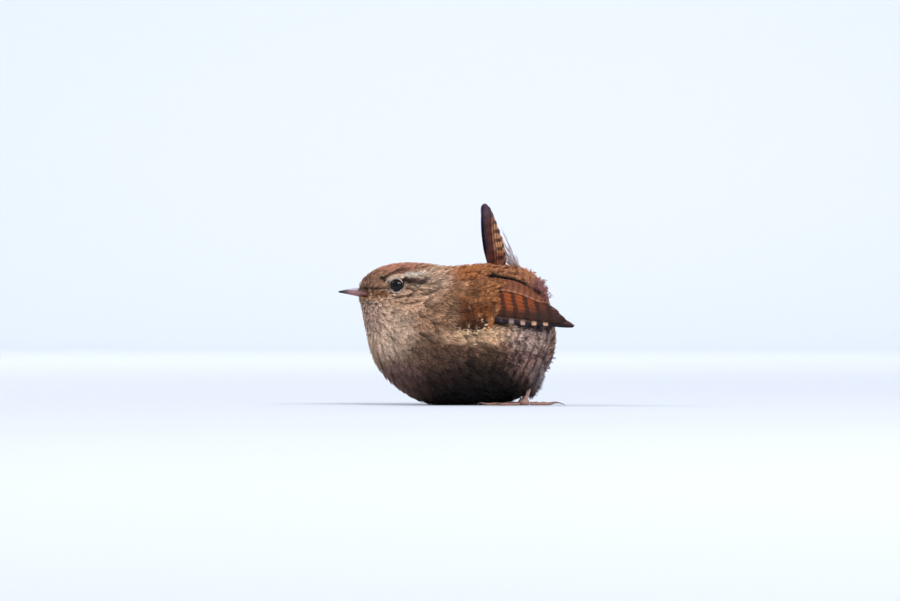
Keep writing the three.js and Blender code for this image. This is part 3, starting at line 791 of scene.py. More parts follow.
# %% [markdown]
# ## Loose feathers
# Where the coat ends, single feathers stand free against the light: pale filaments behind the tail,
# a ragged fringe on the rump, grey down under the vent, and the trousers that hide the top of each
# leg. Longer tufts of the coat would do it too, but they would hug the body. These have few barbs,
# nearly straight shafts and a way of their own, so they stand off it.

# %% Groups of loose feathers: box of roots, way, length, width, count, barbs, colour, height of roots
LOOSE = [
    ("tail_fringe", (22, 25), (0, 2.0), (48, 51), (-1.0, 0, 1), 16.0, 0.035, 22, 5, "#cbbfc2", -0.8),
    ("rump_fringe", (22, 33), (0, 9), (36, 47), (0.4, 0, 1), 3.5, 0.2, 150, 8, None, -1.2),
    ("vent_fringe", (27, 35), (0, 9), (6, 20), (1, 0, -0.45), 2.8, 0.2, 60, 8, "#83746f", -1.4),
    ("trousers", (23, 31), (4, 13), (7.5, 17.5), (-0.5, 0, -1), 6.2, 0.22, 420, 14, None, 0.0),
]


LOOSE_TRIES = 40000


def loose_shafts(p, way, length):
    steps = np.linspace(0, 1, STATIONS)[None, :, None]
    droop = rng.normal(0, 0.09, (len(p), 1, 3))
    way = unit(way + rng.normal(0, 1.1 / length.mean(), (len(p), 3)))
    shaft = p[:, None] + (way[:, None] * steps + droop * steps ** 2) * length[:, None, None]
    run = unit(np.gradient(shaft, axis=1))
    across = unit(np.cross(run, np.array([0, 1.0, 0])) + rng.normal(0, 0.25, (len(p), 1, 3)))
    across = unit(across - run * (across * run).sum(-1, keepdims=True))
    return shaft, across, np.cross(run, across)


for name, xs, ys, zs, way, mean_length, wide, count, barbs, tone, sunk in LOOSE:
    u, v, p = scatter(LOOSE_TRIES)
    inside = (p[:, 0] > xs[0]) & (p[:, 0] < xs[1]) & (p[:, 2] > zs[0]) & (p[:, 2] < zs[1])
    inside &= (np.abs(p[:, 1]) >= ys[0]) & (np.abs(p[:, 1]) < ys[1])
    here = np.flatnonzero(inside)[:count]
    u, v, p = u[here], v[here], p[here]
    normal = unit(slope(p))
    length = mean_length * rng.uniform(0.55, 1.1, len(p))
    shaft, across, up = loose_shafts(p + normal * sunk, unit(np.array(way)) + 0.25 * normal, length)
    points, share, side_share = tufts(shaft, across, up, length * wide, barbs, wide, 0.06)
    flat = points.reshape(-1, 3)
    facts = feather_facts(flat)
    if tone:
        uneven = np.exp(rng.normal(0, 0.1, (len(flat), 1)))
        facts["tint"] = np.broadcast_to(linear(tone), flat.shape) * uneven
        facts["mark"] = facts["tint"] * 0.6
    uv = np.stack([v / (2 * np.pi) % 1.0, u], -1)
    coat_piece(f"loose_{name}", points, share, side_share, uv, down_feather, facts)

# %% [markdown]
# ## Wings
# A folded wing is a short stack of flat feathers. It could be one sheet with the feathers drawn on
# it, but the real edges cast fine shadows. The flight feathers hardly bend, so each is a closed vane
# with a raised shaft, laid on rings round a level line through the body. Tertials lie over
# secondaries and those over primaries. Bars line up from feather to feather as on the real wing.

# %% The wing's own surface, as in the solids
WING_TIP_X = 42.6
WING_TIP_RADIUS = 5.5
WING_SPREAD = 9.5
WING_DRAW_IN = 8.0
WING_BLEND = 1.2
WING_SINK = 0.9


def wing_radius(x, angle):
    out = np.stack([np.zeros_like(x), np.sin(angle), np.cos(angle)], -1)
    start = np.stack([x, np.zeros_like(x), np.full_like(x, WING_AXIS_Z)], -1)
    skin_reach = np.where(height(start) < -1, ray(start, out), 0)
    short = np.maximum(WING_TIP_X - x, 0)
    folded = WING_TIP_RADIUS + WING_SPREAD * (1 - np.exp(-short / WING_DRAW_IN))
    return WING_BLEND * np.logaddexp(skin_reach / WING_BLEND, folded / WING_BLEND)


def wing_point(side, x, angle, lift):
    reach = wing_radius(x, angle) + lift - WING_SINK
    return np.stack([x, side * reach * np.sin(angle), WING_AXIS_Z + reach * np.cos(angle)], -1)


print("wing radius at its middle", wing_radius(np.array([20.0]), np.array([1.0])).round(1), "mm")


# %% One vane
VANE_ROWS, VANE_COLUMNS = 60, 9
VANE_THICK = 0.16
SHAFT_HIGH = 0.16
SHAFT_WIDE = 0.16
CAMBER = 0.3


def vane_outline(f, pointed, taper=0.74):
    base = np.minimum(1, 0.5 + 1.8 * f)
    tip = np.sqrt(np.clip(1 - np.maximum(0, (f - taper) / (1 - taper)) ** pointed, 0, 1))
    return base * np.maximum(tip, 0.03)


def plate(place):
    """Closed vane. place(f, w, lift) gives points; f runs along it and w from -1 to 1 across."""
    rows, columns = VANE_ROWS, VANE_COLUMNS
    f, w = np.meshgrid(np.linspace(0, 1, rows), np.linspace(-1, 1, columns), indexing="ij")
    shaft = SHAFT_HIGH * np.exp(-(w / SHAFT_WIDE) ** 2) * (1 - f) ** 0.5
    camber = CAMBER * (1 - w ** 2)
    top = place(f, w, camber + shaft + VANE_THICK / 2)
    bottom = place(f, w, camber - VANE_THICK / 2)
    i, j = np.meshgrid(np.arange(rows - 1), np.arange(columns - 1), indexing="ij")
    a = (i * columns + j).ravel()
    quad = np.stack([a, a + 1, a + columns + 1, a + columns], -1)
    size = rows * columns
    rim = np.concatenate([np.arange(columns), np.arange(1, rows) * columns + columns - 1,
                          (rows - 1) * columns + np.arange(columns - 2, -1, -1),
                          np.arange(rows - 2, 0, -1) * columns])
    after = np.roll(rim, -1)
    edge = np.stack([after, rim, rim + size, after + size], -1)
    faces = np.concatenate([quad, quad[:, ::-1] + size, edge])
    points = np.concatenate([top.reshape(-1, 3), bottom.reshape(-1, 3)])
    return points, faces, np.tile(f.ravel(), 2), np.tile(w.ravel(), 2)


def facing_out(points, faces):
    """Flips the faces where the closed mesh would be inside out."""
    a, b, c, d = (points[faces[:, k]] for k in range(4))
    volume = (a * np.cross(b, c)).sum() + (a * np.cross(c, d)).sum()
    return faces if volume > 0 else faces[:, ::-1]


# %% Tiers of the wing: roots and tips of the lowest and highest feather as x and degrees
TIERS = [
    {"name": "primary", "count": 9, "lift": 0.5, "width": 4.4, "tilt": 0.1, "pointed": 1.7,
     "root": ((9, 73), (7, 66)), "tip": ((29, 77), (41, 70)),
     "reach": (0, 3.5, 6.0, 7.4, 7.6, 6.2, 4.2, 2.0, 0)},
    {"name": "secondary", "count": 7, "lift": 1.0, "width": 5.0, "tilt": 0.12, "pointed": 2.4,
     "root": ((8, 66), (6, 45)), "tip": ((39.5, 65), (32.0, 37)), "reach": (0, 0.6, 1, 1.1, 1, 0.6, 0)},
    {"name": "tertial", "count": 3, "lift": 1.5, "width": 3.4, "tilt": 0.12, "pointed": 2.4,
     "root": ((4, 44), (3, 39)), "tip": ((32, 41), (26, 38)), "reach": (0, 0, 0)},
    {"name": "greater covert", "count": 9, "lift": 1.6, "width": 4.4, "tilt": 0.14, "pointed": 2.6,
     "root": ((1, 80), (1, 50)), "tip": ((13.8, 84), (15.6, 46)),
     "reach": (0, 0.3, 0.6, 0.9, 1.0, 0.9, 0.6, 0.3, 0)},
    {"name": "alula", "count": 3, "lift": 2.3, "width": 2.8, "tilt": 0.1, "pointed": 2.0,
     "root": ((-1, 84), (-1, 78)), "tip": ((9, 89), (12, 83)), "reach": (0, 0.5, 0)},
    {"name": "median covert", "count": 8, "lift": 1.7, "width": 4.2, "tilt": 0.14, "pointed": 2.8,
     "root": ((-1, 77), (-1, 52)), "tip": ((8.5, 80), (8, 47)),
     "reach": (0, 0.2, 0.4, 0.6, 0.6, 0.4, 0.2, 0)},
]


def wing_vane(side, tier, n):
    part = n / (tier["count"] - 1)
    root = [mix(tier["root"][0][k], tier["root"][1][k], part) for k in (0, 1)]
    tip = [mix(tier["tip"][0][k], tier["tip"][1][k], part) for k in (0, 1)]
    tip[0] += tier["reach"][n] + rng.uniform(-0.5, 0.5)
    half = tier["width"] / 2
    middle = wing_radius(np.array([(root[0] + tip[0]) / 2]), np.radians([(root[1] + tip[1]) / 2]))[0]
    run = np.array([tip[0] - root[0], middle * math.radians(tip[1] - root[1])])
    run = run / np.hypot(*run)
    lean = tier["tilt"] * half

    def place(f, w, lift):
        x = mix(root[0], tip[0], f)
        angle = np.radians(mix(root[1], tip[1], f))
        here = wing_radius(x, angle)
        wide = w * half * vane_outline(f, tier["pointed"])
        fray = 0.05 * np.sin(f * 211 + n) * (np.abs(w) > 0.99)
        over = tier["lift"] * ease(f, -0.05, 0.3) + lean * w + lift
        return wing_point(side, x - run[1] * (wide + fray), angle + run[0] * (wide + fray) / here, over)

    points, faces, f, w = plate(place)
    return points, facing_out(points, faces), f, w, abs(tip[0] - root[0])


print("feathers in one wing", sum(tier["count"] for tier in TIERS))

# %% Colours of the wing feathers
WING_BAR = 4.1
WING_BAR_START = 18.7
PRIMARY_BAR_START = 28.7
ALULA_BAR = 3.6
ALULA_BAR_START = 4.9
TERTIAL_BAR = 2.1
WEB_EDGES = 2.4


def wing_colours(name, points, f, w, shade, shift):
    """Ground tint, mark colour, count of bars and their strength at each point of a vane."""
    x = points[:, 0]
    outer_web = ease(w, 0.1, 0.35)
    bars = (x - WING_BAR_START) / WING_BAR + 0.04 * (points[:, 2] - 33) + 0.1 * np.abs(w) + shift
    if name == "primary":
        ground = mix(linear("#1c151b"), linear("#4e3327"), (1 - outer_web)[:, None])
        mark = mix(linear("#c0937c"), linear("#958582"), ease(-x, -27, -22)[:, None])
        depth = outer_web * (1 - ease(x, 33.5, 35)) * ease(x, 15, 22) * (w < 0.97)
        return ground, mark, (x - PRIMARY_BAR_START) / WING_BAR, depth
    if name == "alula":
        ground = np.broadcast_to(linear("#33231c"), points.shape)
        mark = np.broadcast_to(linear("#f0d9b8"), points.shape)
        return ground, mark, (x - ALULA_BAR_START) / ALULA_BAR + 4 * shift, ease(w, 0.3, 0.5) * 0.85
    rear = ease(x, 22, 35)[:, None]
    bright = mix(linear("#8f431a"), linear("#48271e"), rear)
    bright = mix(bright, linear("#35242c"), ease(x, 33, 40)[:, None])
    warm = {"secondary": bright, "tertial": np.broadcast_to(linear("#7a4630"), points.shape)}
    ground = warm.get(name, np.broadcast_to(linear("#83502d"), points.shape)) * shade
    mark = np.broadcast_to(linear("#27140f"), points.shape)
    depth = {"secondary": 0.82, "tertial": 0.4}.get(name, 0.55) * np.ones(len(x))
    if name == "secondary":
        # The bars step and a pale edge shows where one folded web lies over the next.
        web = WEB_EDGES * (w + 1)
        bars = bars + 0.05 * np.floor(web)
        edge = ease(web % 1, 0.6, 0.8) * (1 - ease(web % 1, 0.86, 0.98))
        ground = mix(ground, linear("#c98f63"), 0.42 * edge[:, None])
        # Painted shadow: a dark band at the start of each web stands for the shade of the web that lies
        # over it.
        ground = ground * (1 - 0.35 * (1 - ease(web % 1, 0, 0.3)))[:, None]
        ground = mix(ground, linear("#d39a68"), 0.35 * ease(w, 0.75, 0.92)[:, None])
        # The lowest webs are dark, with bars that hardly show.
        low = ease(np.interp(x, [15, 31, 36], [34.2, 33.6, 31.4]) - points[:, 2], -2.0, 1.4)
        ground = mix(ground, linear("#2a160f"), 0.9 * low[:, None])
        depth = depth * (1 - 0.5 * ease(x, 33, 39))
    if name == "greater covert":
        # A small pale spot near the tip.
        spot = ease(f, 0.86, 0.91) * (1 - ease(f, 0.94, 0.98))
        spot = spot * ease(w, 0.35, 0.55) * (1 - ease(w, 0.8, 0.9))
        ground = mix(ground, linear("#d8b088"), 10 * abs(shift) * spot[:, None])
    if name == "tertial":
        bars = x / TERTIAL_BAR + 0.3 * np.abs(w) + shift
        ground = mix(ground, linear("#b98163"), 0.6 * ease(w, 0.6, 0.85)[:, None])
    return ground, mark, bars, depth


# %% Vanes joined to one mesh for each wing
BARB_PITCH = 0.45
FACTS = ("tint", "mark", "bar", "depth")


def vane_piece(name, vanes, replaces):
    """Joins vanes, each with its own strip of the bake map."""
    points, faces, bake = [], [], []
    facts = {key: [] for key in (*FACTS, "barb")}
    start = 0
    for n, (p, quads, f, w, length, colours) in enumerate(vanes):
        points.append(p)
        faces.append(quads + start)
        start += len(p)
        lower = np.arange(len(p)) >= len(p) // 2
        u = (n + 0.06 + 0.42 * (w + 1) / 2 + 0.47 * lower) / len(vanes)
        bake.append(np.stack([u, 0.02 + 0.96 * f], -1)[quads.ravel()])
        for key, value in zip(FACTS, colours):
            facts[key].append(value)
        facts["barb"].append((f * length / BARB_PITCH + np.abs(w) * 3.2) * 2 * np.pi)
    facts = {k: np.concatenate(v) for k, v in facts.items()}
    made = piece(name, np.concatenate(points), [np.concatenate(faces)], flight_feather, facts,
                 np.concatenate(bake), replaces)
    print(name, len(made.data.polygons) * 2, "triangles")


for side_name, side in SIDES.items():
    vanes = []
    for tier in TIERS:
        for n in range(tier["count"]):
            p, quads, f, w, length = wing_vane(side, tier, n)
            shade = rng.uniform(0.86, 1.12)
            shift = rng.uniform(-0.05, 0.05)
            vanes.append((p, quads, f, w, length, wing_colours(tier["name"], p, f, w, shade, shift)))
    vane_piece(f"wing_{side_name}_vanes", vanes, (f"wing_{side_name}",))

# %% [markdown]
# ## Shoulder and small coverts
# Over the wing's arm lie small loose feathers and the scapulars of the shoulder. Flat vanes would
# look like scales here. So these are tufts like the body's, but they grow on the wing's surface, and
# they hide the roots of the flat feathers.

# %% Shafts on the wing
def wing_shafts(side, x, angle, length, low, high, drift):
    steps = np.linspace(0, 1, STATIONS)
    shaft = np.empty((len(x), STATIONS, 3))
    ups = np.empty_like(shaft)
    for k, f in enumerate(steps):
        px = x + length * f
        pa = angle + drift * f
        lift = mix(low, high, f ** 0.8)
        shaft[:, k] = wing_point(side, px, pa, lift)
        ups[:, k] = np.stack([np.zeros_like(px), side * np.sin(pa), np.cos(pa)], -1)
    run = unit(np.gradient(shaft, axis=1))
    across = unit(np.cross(ups, run))
    return shaft, across, unit(np.cross(run, across))


# %% Covert tufts
SHOULDER_TRIES = 5200
SHOULDER_GAP = 1.0
SHOULDER_BARBS = 22
SHOULDER_X = (-7.0, 13.5)
SHOULDER_ANGLE = (34.0, 88.0)
SHOULDER_LIFT = 3.4
SHOULDER_PATCHES = [
    ("top", 9, 42, 12, 6, "#ae744a", 0.95),
    ("top front", 0, 43, 6, 3.6, "#dba27c", 0.9),
    ("front", -3.5, 33, 5.5, 10, "#b08a6e", 0.9),
    ("front dark", 3.4, 34.5, 4, 5, "#5d3722", 0.6),
    ("low rear", 9, 28.8, 8, 3.4, "#4b2919", 0.9),
]
for side_name, side in SIDES.items():
    x = rng.uniform(*SHOULDER_X, SHOULDER_TRIES)
    degrees = rng.uniform(*SHOULDER_ANGLE, SHOULDER_TRIES)
    # The tufts end on a slant, so that the tips of the greater coverts show below and behind.
    limit = mix(87.0, 46.0, ease(x, 2.5, 14))
    x, degrees = x[degrees < limit], degrees[degrees < limit]
    angle = np.radians(degrees)
    place = wing_point(side, x, angle, np.full_like(x, 1.0))
    picked = spaced(place, np.full(len(x), SHOULDER_GAP))
    x, angle, place = x[picked], angle[picked], place[picked]
    length = rng.uniform(5.0, 7.2, len(x)) * mix(1, 0.8, ease(x, 4, 12))
    inside = ease(np.degrees(angle), 34, 43) * ease(x, -7, -1.5)
    top_front = (1 - ease(x, -2, 8)) * (1 - ease(np.degrees(angle), 48, 66))
    low, high = mix(-0.6, 2.2, inside), mix(1.0, SHOULDER_LIFT, inside) - 1.3 * top_front
    shaft, across, up = wing_shafts(side, x, angle, length, low, high, rng.normal(0.01, 0.04, len(x)))
    points, share, side_share = tufts(shaft, across, up, length * 0.27, SHOULDER_BARBS, 0.1)
    flat = points.reshape(-1, 3)
    ground = patched(flat, np.broadcast_to(linear("#794322"), flat.shape), SHOULDER_PATCHES)
    # The body's colours pass into the wing's along a wavy border.
    border = flat[:, 0] + 1.3 * np.sin(1.7 * flat[:, 2] + 0.6 * flat[:, 0])
    ground = mix(plumage(flat), ground, ease(border, -6, 3)[:, None])
    tone = np.exp(rng.normal(0, 0.34, (len(x), 1, 1)) + rng.normal(0, 0.1, points.shape[:2] + (1,)))
    tone = (tone * mix(0.55, 1.15, ease(share, 0.2, 0.9))).reshape(-1, 1)
    pale_tip = (rng.random((len(x), 1, 1)) < 0.08) * ease(share, 0.84, 0.93)
    ground = mix(ground, linear("#dab585"), 0.6 * pale_tip.reshape(-1, 1))
    jitter = np.repeat(rng.normal(0, 0.25, len(x)), SHOULDER_BARBS * BARB_POINTS)
    facts = {"tint": ground * tone, "mark": ground * tone * 0.3,
             "bar": flat[:, 0] / BAR_SPACING + jitter, "depth": 0.55 * ease(flat[:, 0], -2, 6)}
    uv = np.stack([(x + 8) / 30, (np.degrees(angle) - 20) / 75], -1)
    coat_piece(f"coverts_{side_name}", points, share, side_share, uv, covert_feather,
               facts)

# %% [markdown]
# ## The cocked tail
# Twelve short feathers, folded like a roof with the ridge towards the head, so the side view shows
# the webs of the outer ones stepping down behind. They are rufous with dark bars and dark tips. A
# solid wedge with grooves would give the outline, but not those steps, so the tail is made from the
# same vanes as the wings.

# %% Tail vanes
TAIL_BASE = {"x": 11.3, "z": 49.0}
TAIL_TIP = {"x": 9.7, "z": 72.5}
TAIL_BOW, TAIL_BOW_LATE = 0.9, 1.3
TAIL_SHORTER = (0, 0.8, 2.3, 4.4, 7.2, 10.4)
TAIL_WIDTH = 4.9
TAIL_FOLD = (38, 68)
TAIL_BACK = (0.6, 0.5)
TAIL_OUT = (0.3, 0.52)
TAIL_BAR = 3.3


def tail_vane(side, pair):
    fold = math.radians(mix(*TAIL_FOLD, pair / 5))
    across = np.array([math.sin(fold), side * math.cos(fold), 0])
    facing = np.array([-math.cos(fold), side * math.sin(fold), 0])
    tip_z = TAIL_TIP["z"] - TAIL_SHORTER[pair]
    off = 0.18 if side < 0 else 0.0

    def place(f, w, lift):
        z = mix(TAIL_BASE["z"], tip_z, f)
        rise = (z - TAIL_BASE["z"]) / (TAIL_TIP["z"] - TAIL_BASE["z"])
        bow = TAIL_BOW * np.sin(np.pi * np.clip(rise, 0, 1) ** TAIL_BOW_LATE)
        front = mix(TAIL_BASE["x"], TAIL_TIP["x"], rise) - bow
        back = pair * mix(*TAIL_BACK, rise) + off
        out = pair * mix(*TAIL_OUT, rise) - 0.35
        middle = np.stack([front + back, side * out, z], -1) + across * TAIL_WIDTH / 2
        fray = 0.12 * np.sin(f * 173 + pair) * (np.abs(w) > 0.99) * ease(f, 0.5, 0.8)
        wide = w * TAIL_WIDTH / 2 * vane_outline(f, 2.2, 0.86) + fray
        # The tip turns towards the front edge, as the narrower web there is the longer one.
        wide = wide - 0.9 * ease(f, 0.8, 1.0) + 0.25 * ease(f, 0.9, 1.0) * np.sin(w * 19 + pair)
        return middle + across * wide[..., None] + facing * (lift * 0.7)[..., None]

    points, faces, f, w = plate(place)
    return points, facing_out(points, faces), f, w, tip_z - TAIL_BASE["z"]


# %% The tail with its colours
tail_vanes = []
for pair in range(6):
    for side in SIDES.values():
        p, quads, f, w, length = tail_vane(side, pair)
        # Dark front edge, purple brown web, then rufous with cream patches along the rear edge.
        rise = ease(p[:, 2], 50, 68)
        rear = p[:, 0] - mix(11.6, 10.0, rise)
        ground = mix(linear("#17131f"), linear("#57302f"), ease(rear, 0, 1.2)[:, None])
        ground = mix(ground, linear("#a96a42"), (ease(rear, 1.8, 3.4) * (1 - 0.6 * rise))[:, None])
        ground = mix(ground, linear("#e0b48c"), 0.45 * (ease(w, 0.66, 0.95) * ease(rear, 2.5, 4))[:, None])
        ground = mix(ground, linear("#5e2e20"), 0.75 * ease(-p[:, 2], -56.5, -54)[:, None])
        ground = mix(ground, linear("#5c4650"), 0.85 * ease(p[:, 2], 64, 70)[:, None])
        ground = ground * rng.uniform(0.88, 1.12)
        mark = np.broadcast_to(linear("#221420"), ground.shape)
        bars = p[:, 2] / TAIL_BAR - 0.1 * (p[:, 0] - 10) + 0.3 + rng.uniform(-0.34, 0.34)
        depth = mix(0.36, 0.8, ease(rear, 3, 4.5)) * (1 - 0.5 * ease(p[:, 2], 66, 70))
        tail_vanes.append((p, quads, f, w, length, (ground, mark, bars, depth)))
vane_piece("tail_vanes", tail_vanes, ("tail",))

# %% [markdown]
# ## Eyes
# A wren's eye is a bulging bead, nearly black, with a thin ring of pale bare skin. A half ball stuck
# on the head would do from the side, but its edge shows from other angles. So the bead is a closed
# ball as deep in the head as the solid one, with a dark brown iris round the pupil, and the lids are
# a soft ring that closes on it.

# %% Eye and lids
def eye_place(side):
    start = np.array([[EYE["x"], 0, EYE["z"]]])
    out = np.array([[0, side, 0.0]])
    rim = start[0] + out[0] * ray(start, out)[0]
    axis = unit(np.array([-EYE["forward"], side, EYE["up"]]))
    return rim, axis, rim - axis * math.sqrt(EYE["radius"] ** 2 - EYE["shown"] ** 2)


def ring_frame(axis):
    level = np.array([0, 0, 1.0]) if abs(axis[2]) < 0.9 else np.array([1.0, 0, 0])
    a = unit(np.cross(axis, level))
    return a, np.cross(axis, a)


def ball(middle, axis, radius, rows=48, columns=64):
    a, b = ring_frame(axis)
    t = np.linspace(0.02, np.pi - 0.02, rows)[:, None, None]
    turn = (np.arange(columns) / columns * 2 * np.pi)[None, :, None]
    rings = middle + radius * (np.cos(t) * axis + np.sin(t) * (np.cos(turn) * a + np.sin(turn) * b))
    return rolled(rings)


def lid_ring(rim, axis, rows=72, columns=14):
    a, b = ring_frame(axis)
    turn = (np.arange(rows) / rows * 2 * np.pi)[:, None]
    around = (np.arange(columns) / columns * 2 * np.pi)[None, :]
    # The ring is thinner in front and behind, where the lids meet, and closes a little on the ball.
    thick = 0.16 + 0.12 * np.abs(np.sin(turn))
    reach = EYE["shown"] + 0.06 + thick * (1 + np.cos(around)) + 0.16 * np.abs(np.cos(turn)) ** 6
    lift = 0.16 + thick * np.sin(around)
    spoke = np.cos(turn)[..., None] * a + np.sin(turn)[..., None] * b
    p = rim + spoke * reach[..., None] + axis * lift[..., None]
    i, j = np.meshgrid(np.arange(rows), np.arange(columns), indexing="ij")
    k, m = (i + 1) % rows, (j + 1) % columns
    quads = np.stack([i * columns + j, k * columns + j, k * columns + m, i * columns + m], -1)
    points = p.reshape(-1, 3)
    return points, facing_out(points, quads.reshape(-1, 4))


# %% Both eyes
for side_name, side in SIDES.items():
    rim, axis, middle = eye_place(side)
    points, faces = ball(middle, axis, EYE["radius"])
    from_axis = np.linalg.norm(np.cross(points - middle, axis), axis=-1)
    iris = mix(linear("#050507"), linear("#150c08"), ease(from_axis, 1.25, 1.45)[:, None])
    piece(f"eyeball_{side_name}", points, faces, wet_eye, {"tint": iris},
          replaces=(f"eye_{side_name}",))
    points, quads = lid_ring(rim, axis)
    broken = ease(np.abs(points[:, 2] - rim[2]), 0.7, 2.0)[:, None]
    tint = mix(linear("#3a2c2c"), linear("#a8968b"), broken)
    piece(f"lids_{side_name}", points, [quads], leg_scale, {"tint": tint})
    print("eye", side_name, "rim at", rim.round(1))

# %% [markdown]
# ## The bill
# A fine, slightly curved pair of tweezers in horn: a ridge along the top, a groove with the nostril
# on each side, and a dark tip. A stretched cone has neither ridge nor mouth line. So each half is
# one closed loft that follows the side outline, and the upper one closes over the lower.

# %% Bill halves
NOSTRIL = {"x": -34.4, "z": 41.35, "long": 1.3, "high": 0.5}


def bill_half(upper, rows=70, columns=33):
    s = np.linspace(0, 1, rows)
    knots = np.linspace(0, 1, 5)
    fit = {k: np.polyval(np.polyfit(knots, v, 4), s) for k, v in BILL.items()}
    turn = np.linspace(0, np.pi, columns)[None, :]
    # The upper edge closes over the lower half, so no light passes between.
    mouth = fit["mouth"][:, None] + (-0.05 if upper else 0.12)
    outer_z = (fit["top"] if upper else fit["bottom"])[:, None]
    rise = np.sin(turn) ** (1.15 if upper else 0.8)
    half = fit["width"][:, None] / 2 * (1 if upper else 0.93)
    y = np.cos(turn) * half * (1 - 0.12 * np.sin(turn) ** 2)
    z = mouth + (outer_z - mouth) * rise
    x = np.broadcast_to(fit["x"][:, None], y.shape).copy()
    if upper:
        near = np.hypot((x - NOSTRIL["x"]) / (NOSTRIL["long"] * 0.75), (z - NOSTRIL["z"]) / 0.42)
        y = y * (1 - 0.34 * (1 - ease(near, 0.3, 1.1)))
    rings = np.stack([x, y, z], -1)
    return rolled(rings if upper else rings[:, ::-1])


# %% Both halves with their tints
for name, upper, slot in (("upper", True, "bill_top"), ("lower", False, "bill_low")):
    points, faces = bill_half(upper)
    back = -points[:, 0]
    tip = ease(back, 37.0, 40.5)[:, None]
    if upper:
        # The top ridge is pale grey-lilac: partly the horn's own tone and partly a painted highlight.
        ridge = ease(points[:, 2] - np.interp(back, [33, 42], [41.3, 40.85]), 0, 0.5)[:, None]
        tint = mix(linear("#8f6866"), linear("#b0a8b6"), ridge)
        tint = mix(tint, linear("#1d222b"), tip)
        # Painted shade: the nostril's opening is a near-black spot in the tint over a shallow dent.
        hole = np.hypot((points[:, 0] - NOSTRIL["x"]) / 0.6, (points[:, 2] - NOSTRIL["z"]) / 0.24)
        tint = mix(linear("#120c0c"), tint, ease(hole, 0.7, 1.15)[:, None])
    else:
        tint = mix(linear("#7a3038"), linear("#94625c"), ease(back, 32.8, 36)[:, None])
        tint = mix(tint, linear("#2b2930"), tip)
    tint = mix(tint, linear("#9c6038"), 0.9 * ease(points[:, 0], -32.9, -31.7)[:, None])
    piece(f"bill_{name}_horn", points, faces, bill_horn, {"tint": tint},
          replaces=(f"bill_{name}",))
    print("bill", name, len(points), "points")

# %% [markdown]
# ## Legs, toes and claws
# Thin horn-scaled legs. The scales could come from bump alone, but the outline of a leg shows them.
# So each is a tube whose radius steps at every scale, with soft pads under the joints of the toes.
# Claws are curved cones that come down to the floor.

# %% Sizes of the feet
FOOT = {"x": 24.8, "y": 8.5, "rx": 2.0, "ry": 1.7, "rz": 1.35, "z": 1.0}
SHANK_TOP = {"x": 30.2, "z": 15.0}
SHANK_RADII = (0.95, 0.7, 0.72, 1.0, 1.5)
TOE_START = 2.4
# Each toe's turn from straight ahead in degrees, its length and its claw's length.
TOES = {
    "inner": (27, 8.5, 3.4),
    "middle": (-7, 11.5, 3.8),
    "outer": (-41, 9.0, 3.4),
    "hind": (173, 7.0, 5.4),
}
TOE_RADII = (0.5, 0.55, 0.46, 0.52, 0.42)
CLAW = {"radius": 0.4, "arch": 0.55, "root": 0.46}
CLAW_GAP = 0.09
SHANK_ROWS, TOE_ROWS, CLAW_ROWS = 110, 70, 36
CLAW_COLUMNS = 16
print("longest toe with its claw", sum(TOES["middle"][1:]), "mm")


# %% Tubes with scales
def tube(centre, radius, columns=20):
    """A round tube along a centre line, flat where it meets the floor."""
    run = unit(np.gradient(centre, axis=0))
    across = unit(np.cross([0, 0, 1.0], run) + np.array([0, 1e-4, 0]))
    up = np.cross(run, across)
    turn = (np.arange(columns) / columns * 2 * np.pi)[None, :, None]
    spoke = np.cos(turn) * across[:, None] - np.sin(turn) * up[:, None]
    rings = centre[:, None] + spoke * radius[:, None, None]
    rings[..., 2] = np.maximum(rings[..., 2], 0.0)
    return rolled(rings)


def scuted(radius, length, step, rows):
    """Radii along a tube that grow a little over each scale and drop at its end."""
    s = np.linspace(0, 1, rows)
    smooth_radius = np.interp(s, np.linspace(0, 1, len(radius)), radius)
    plates = (s * length / step) % 1
    return smooth_radius * (1 + 0.07 * plates - 0.05 * (plates > 0.9))


def leg_tint(points):
    tone = mix(linear("#8f6a5d"), linear("#c8a393"), ease(points[:, 2], 0.2, 6)[:, None])
    return {"tint": tone}


# %% Shanks and foot pads
SHANK_LENGTH, SHANK_SCALE = 15, 1.3
for side_name, side in SIDES.items():
    s = np.linspace(0, 1, SHANK_ROWS)
    y = np.full(SHANK_ROWS, side * FOOT["y"])
    centre = np.stack([mix(FOOT["x"], SHANK_TOP["x"], s), y, mix(FOOT["z"], SHANK_TOP["z"], s)], -1)
    points, faces = tube(centre, scuted(SHANK_RADII, SHANK_LENGTH, SHANK_SCALE, SHANK_ROWS))
    piece(f"shank_{side_name}", points, faces, leg_scale, leg_tint(points),
          replaces=(f"leg_{side_name}",))
    middle = np.array([FOOT["x"], side * FOOT["y"], FOOT["z"]])
    points, faces = ball(np.zeros(3), np.array([0, 0, 1.0]), 1.0, 20, 28)
    points = points * (FOOT["rx"], FOOT["ry"], FOOT["rz"]) + middle
    points[:, 2] = np.maximum(points[:, 2], 0.0)
    piece(f"foot_pad_{side_name}", points, faces, leg_scale, leg_tint(points))
    print("shank", side_name, "top at", centre[-1])

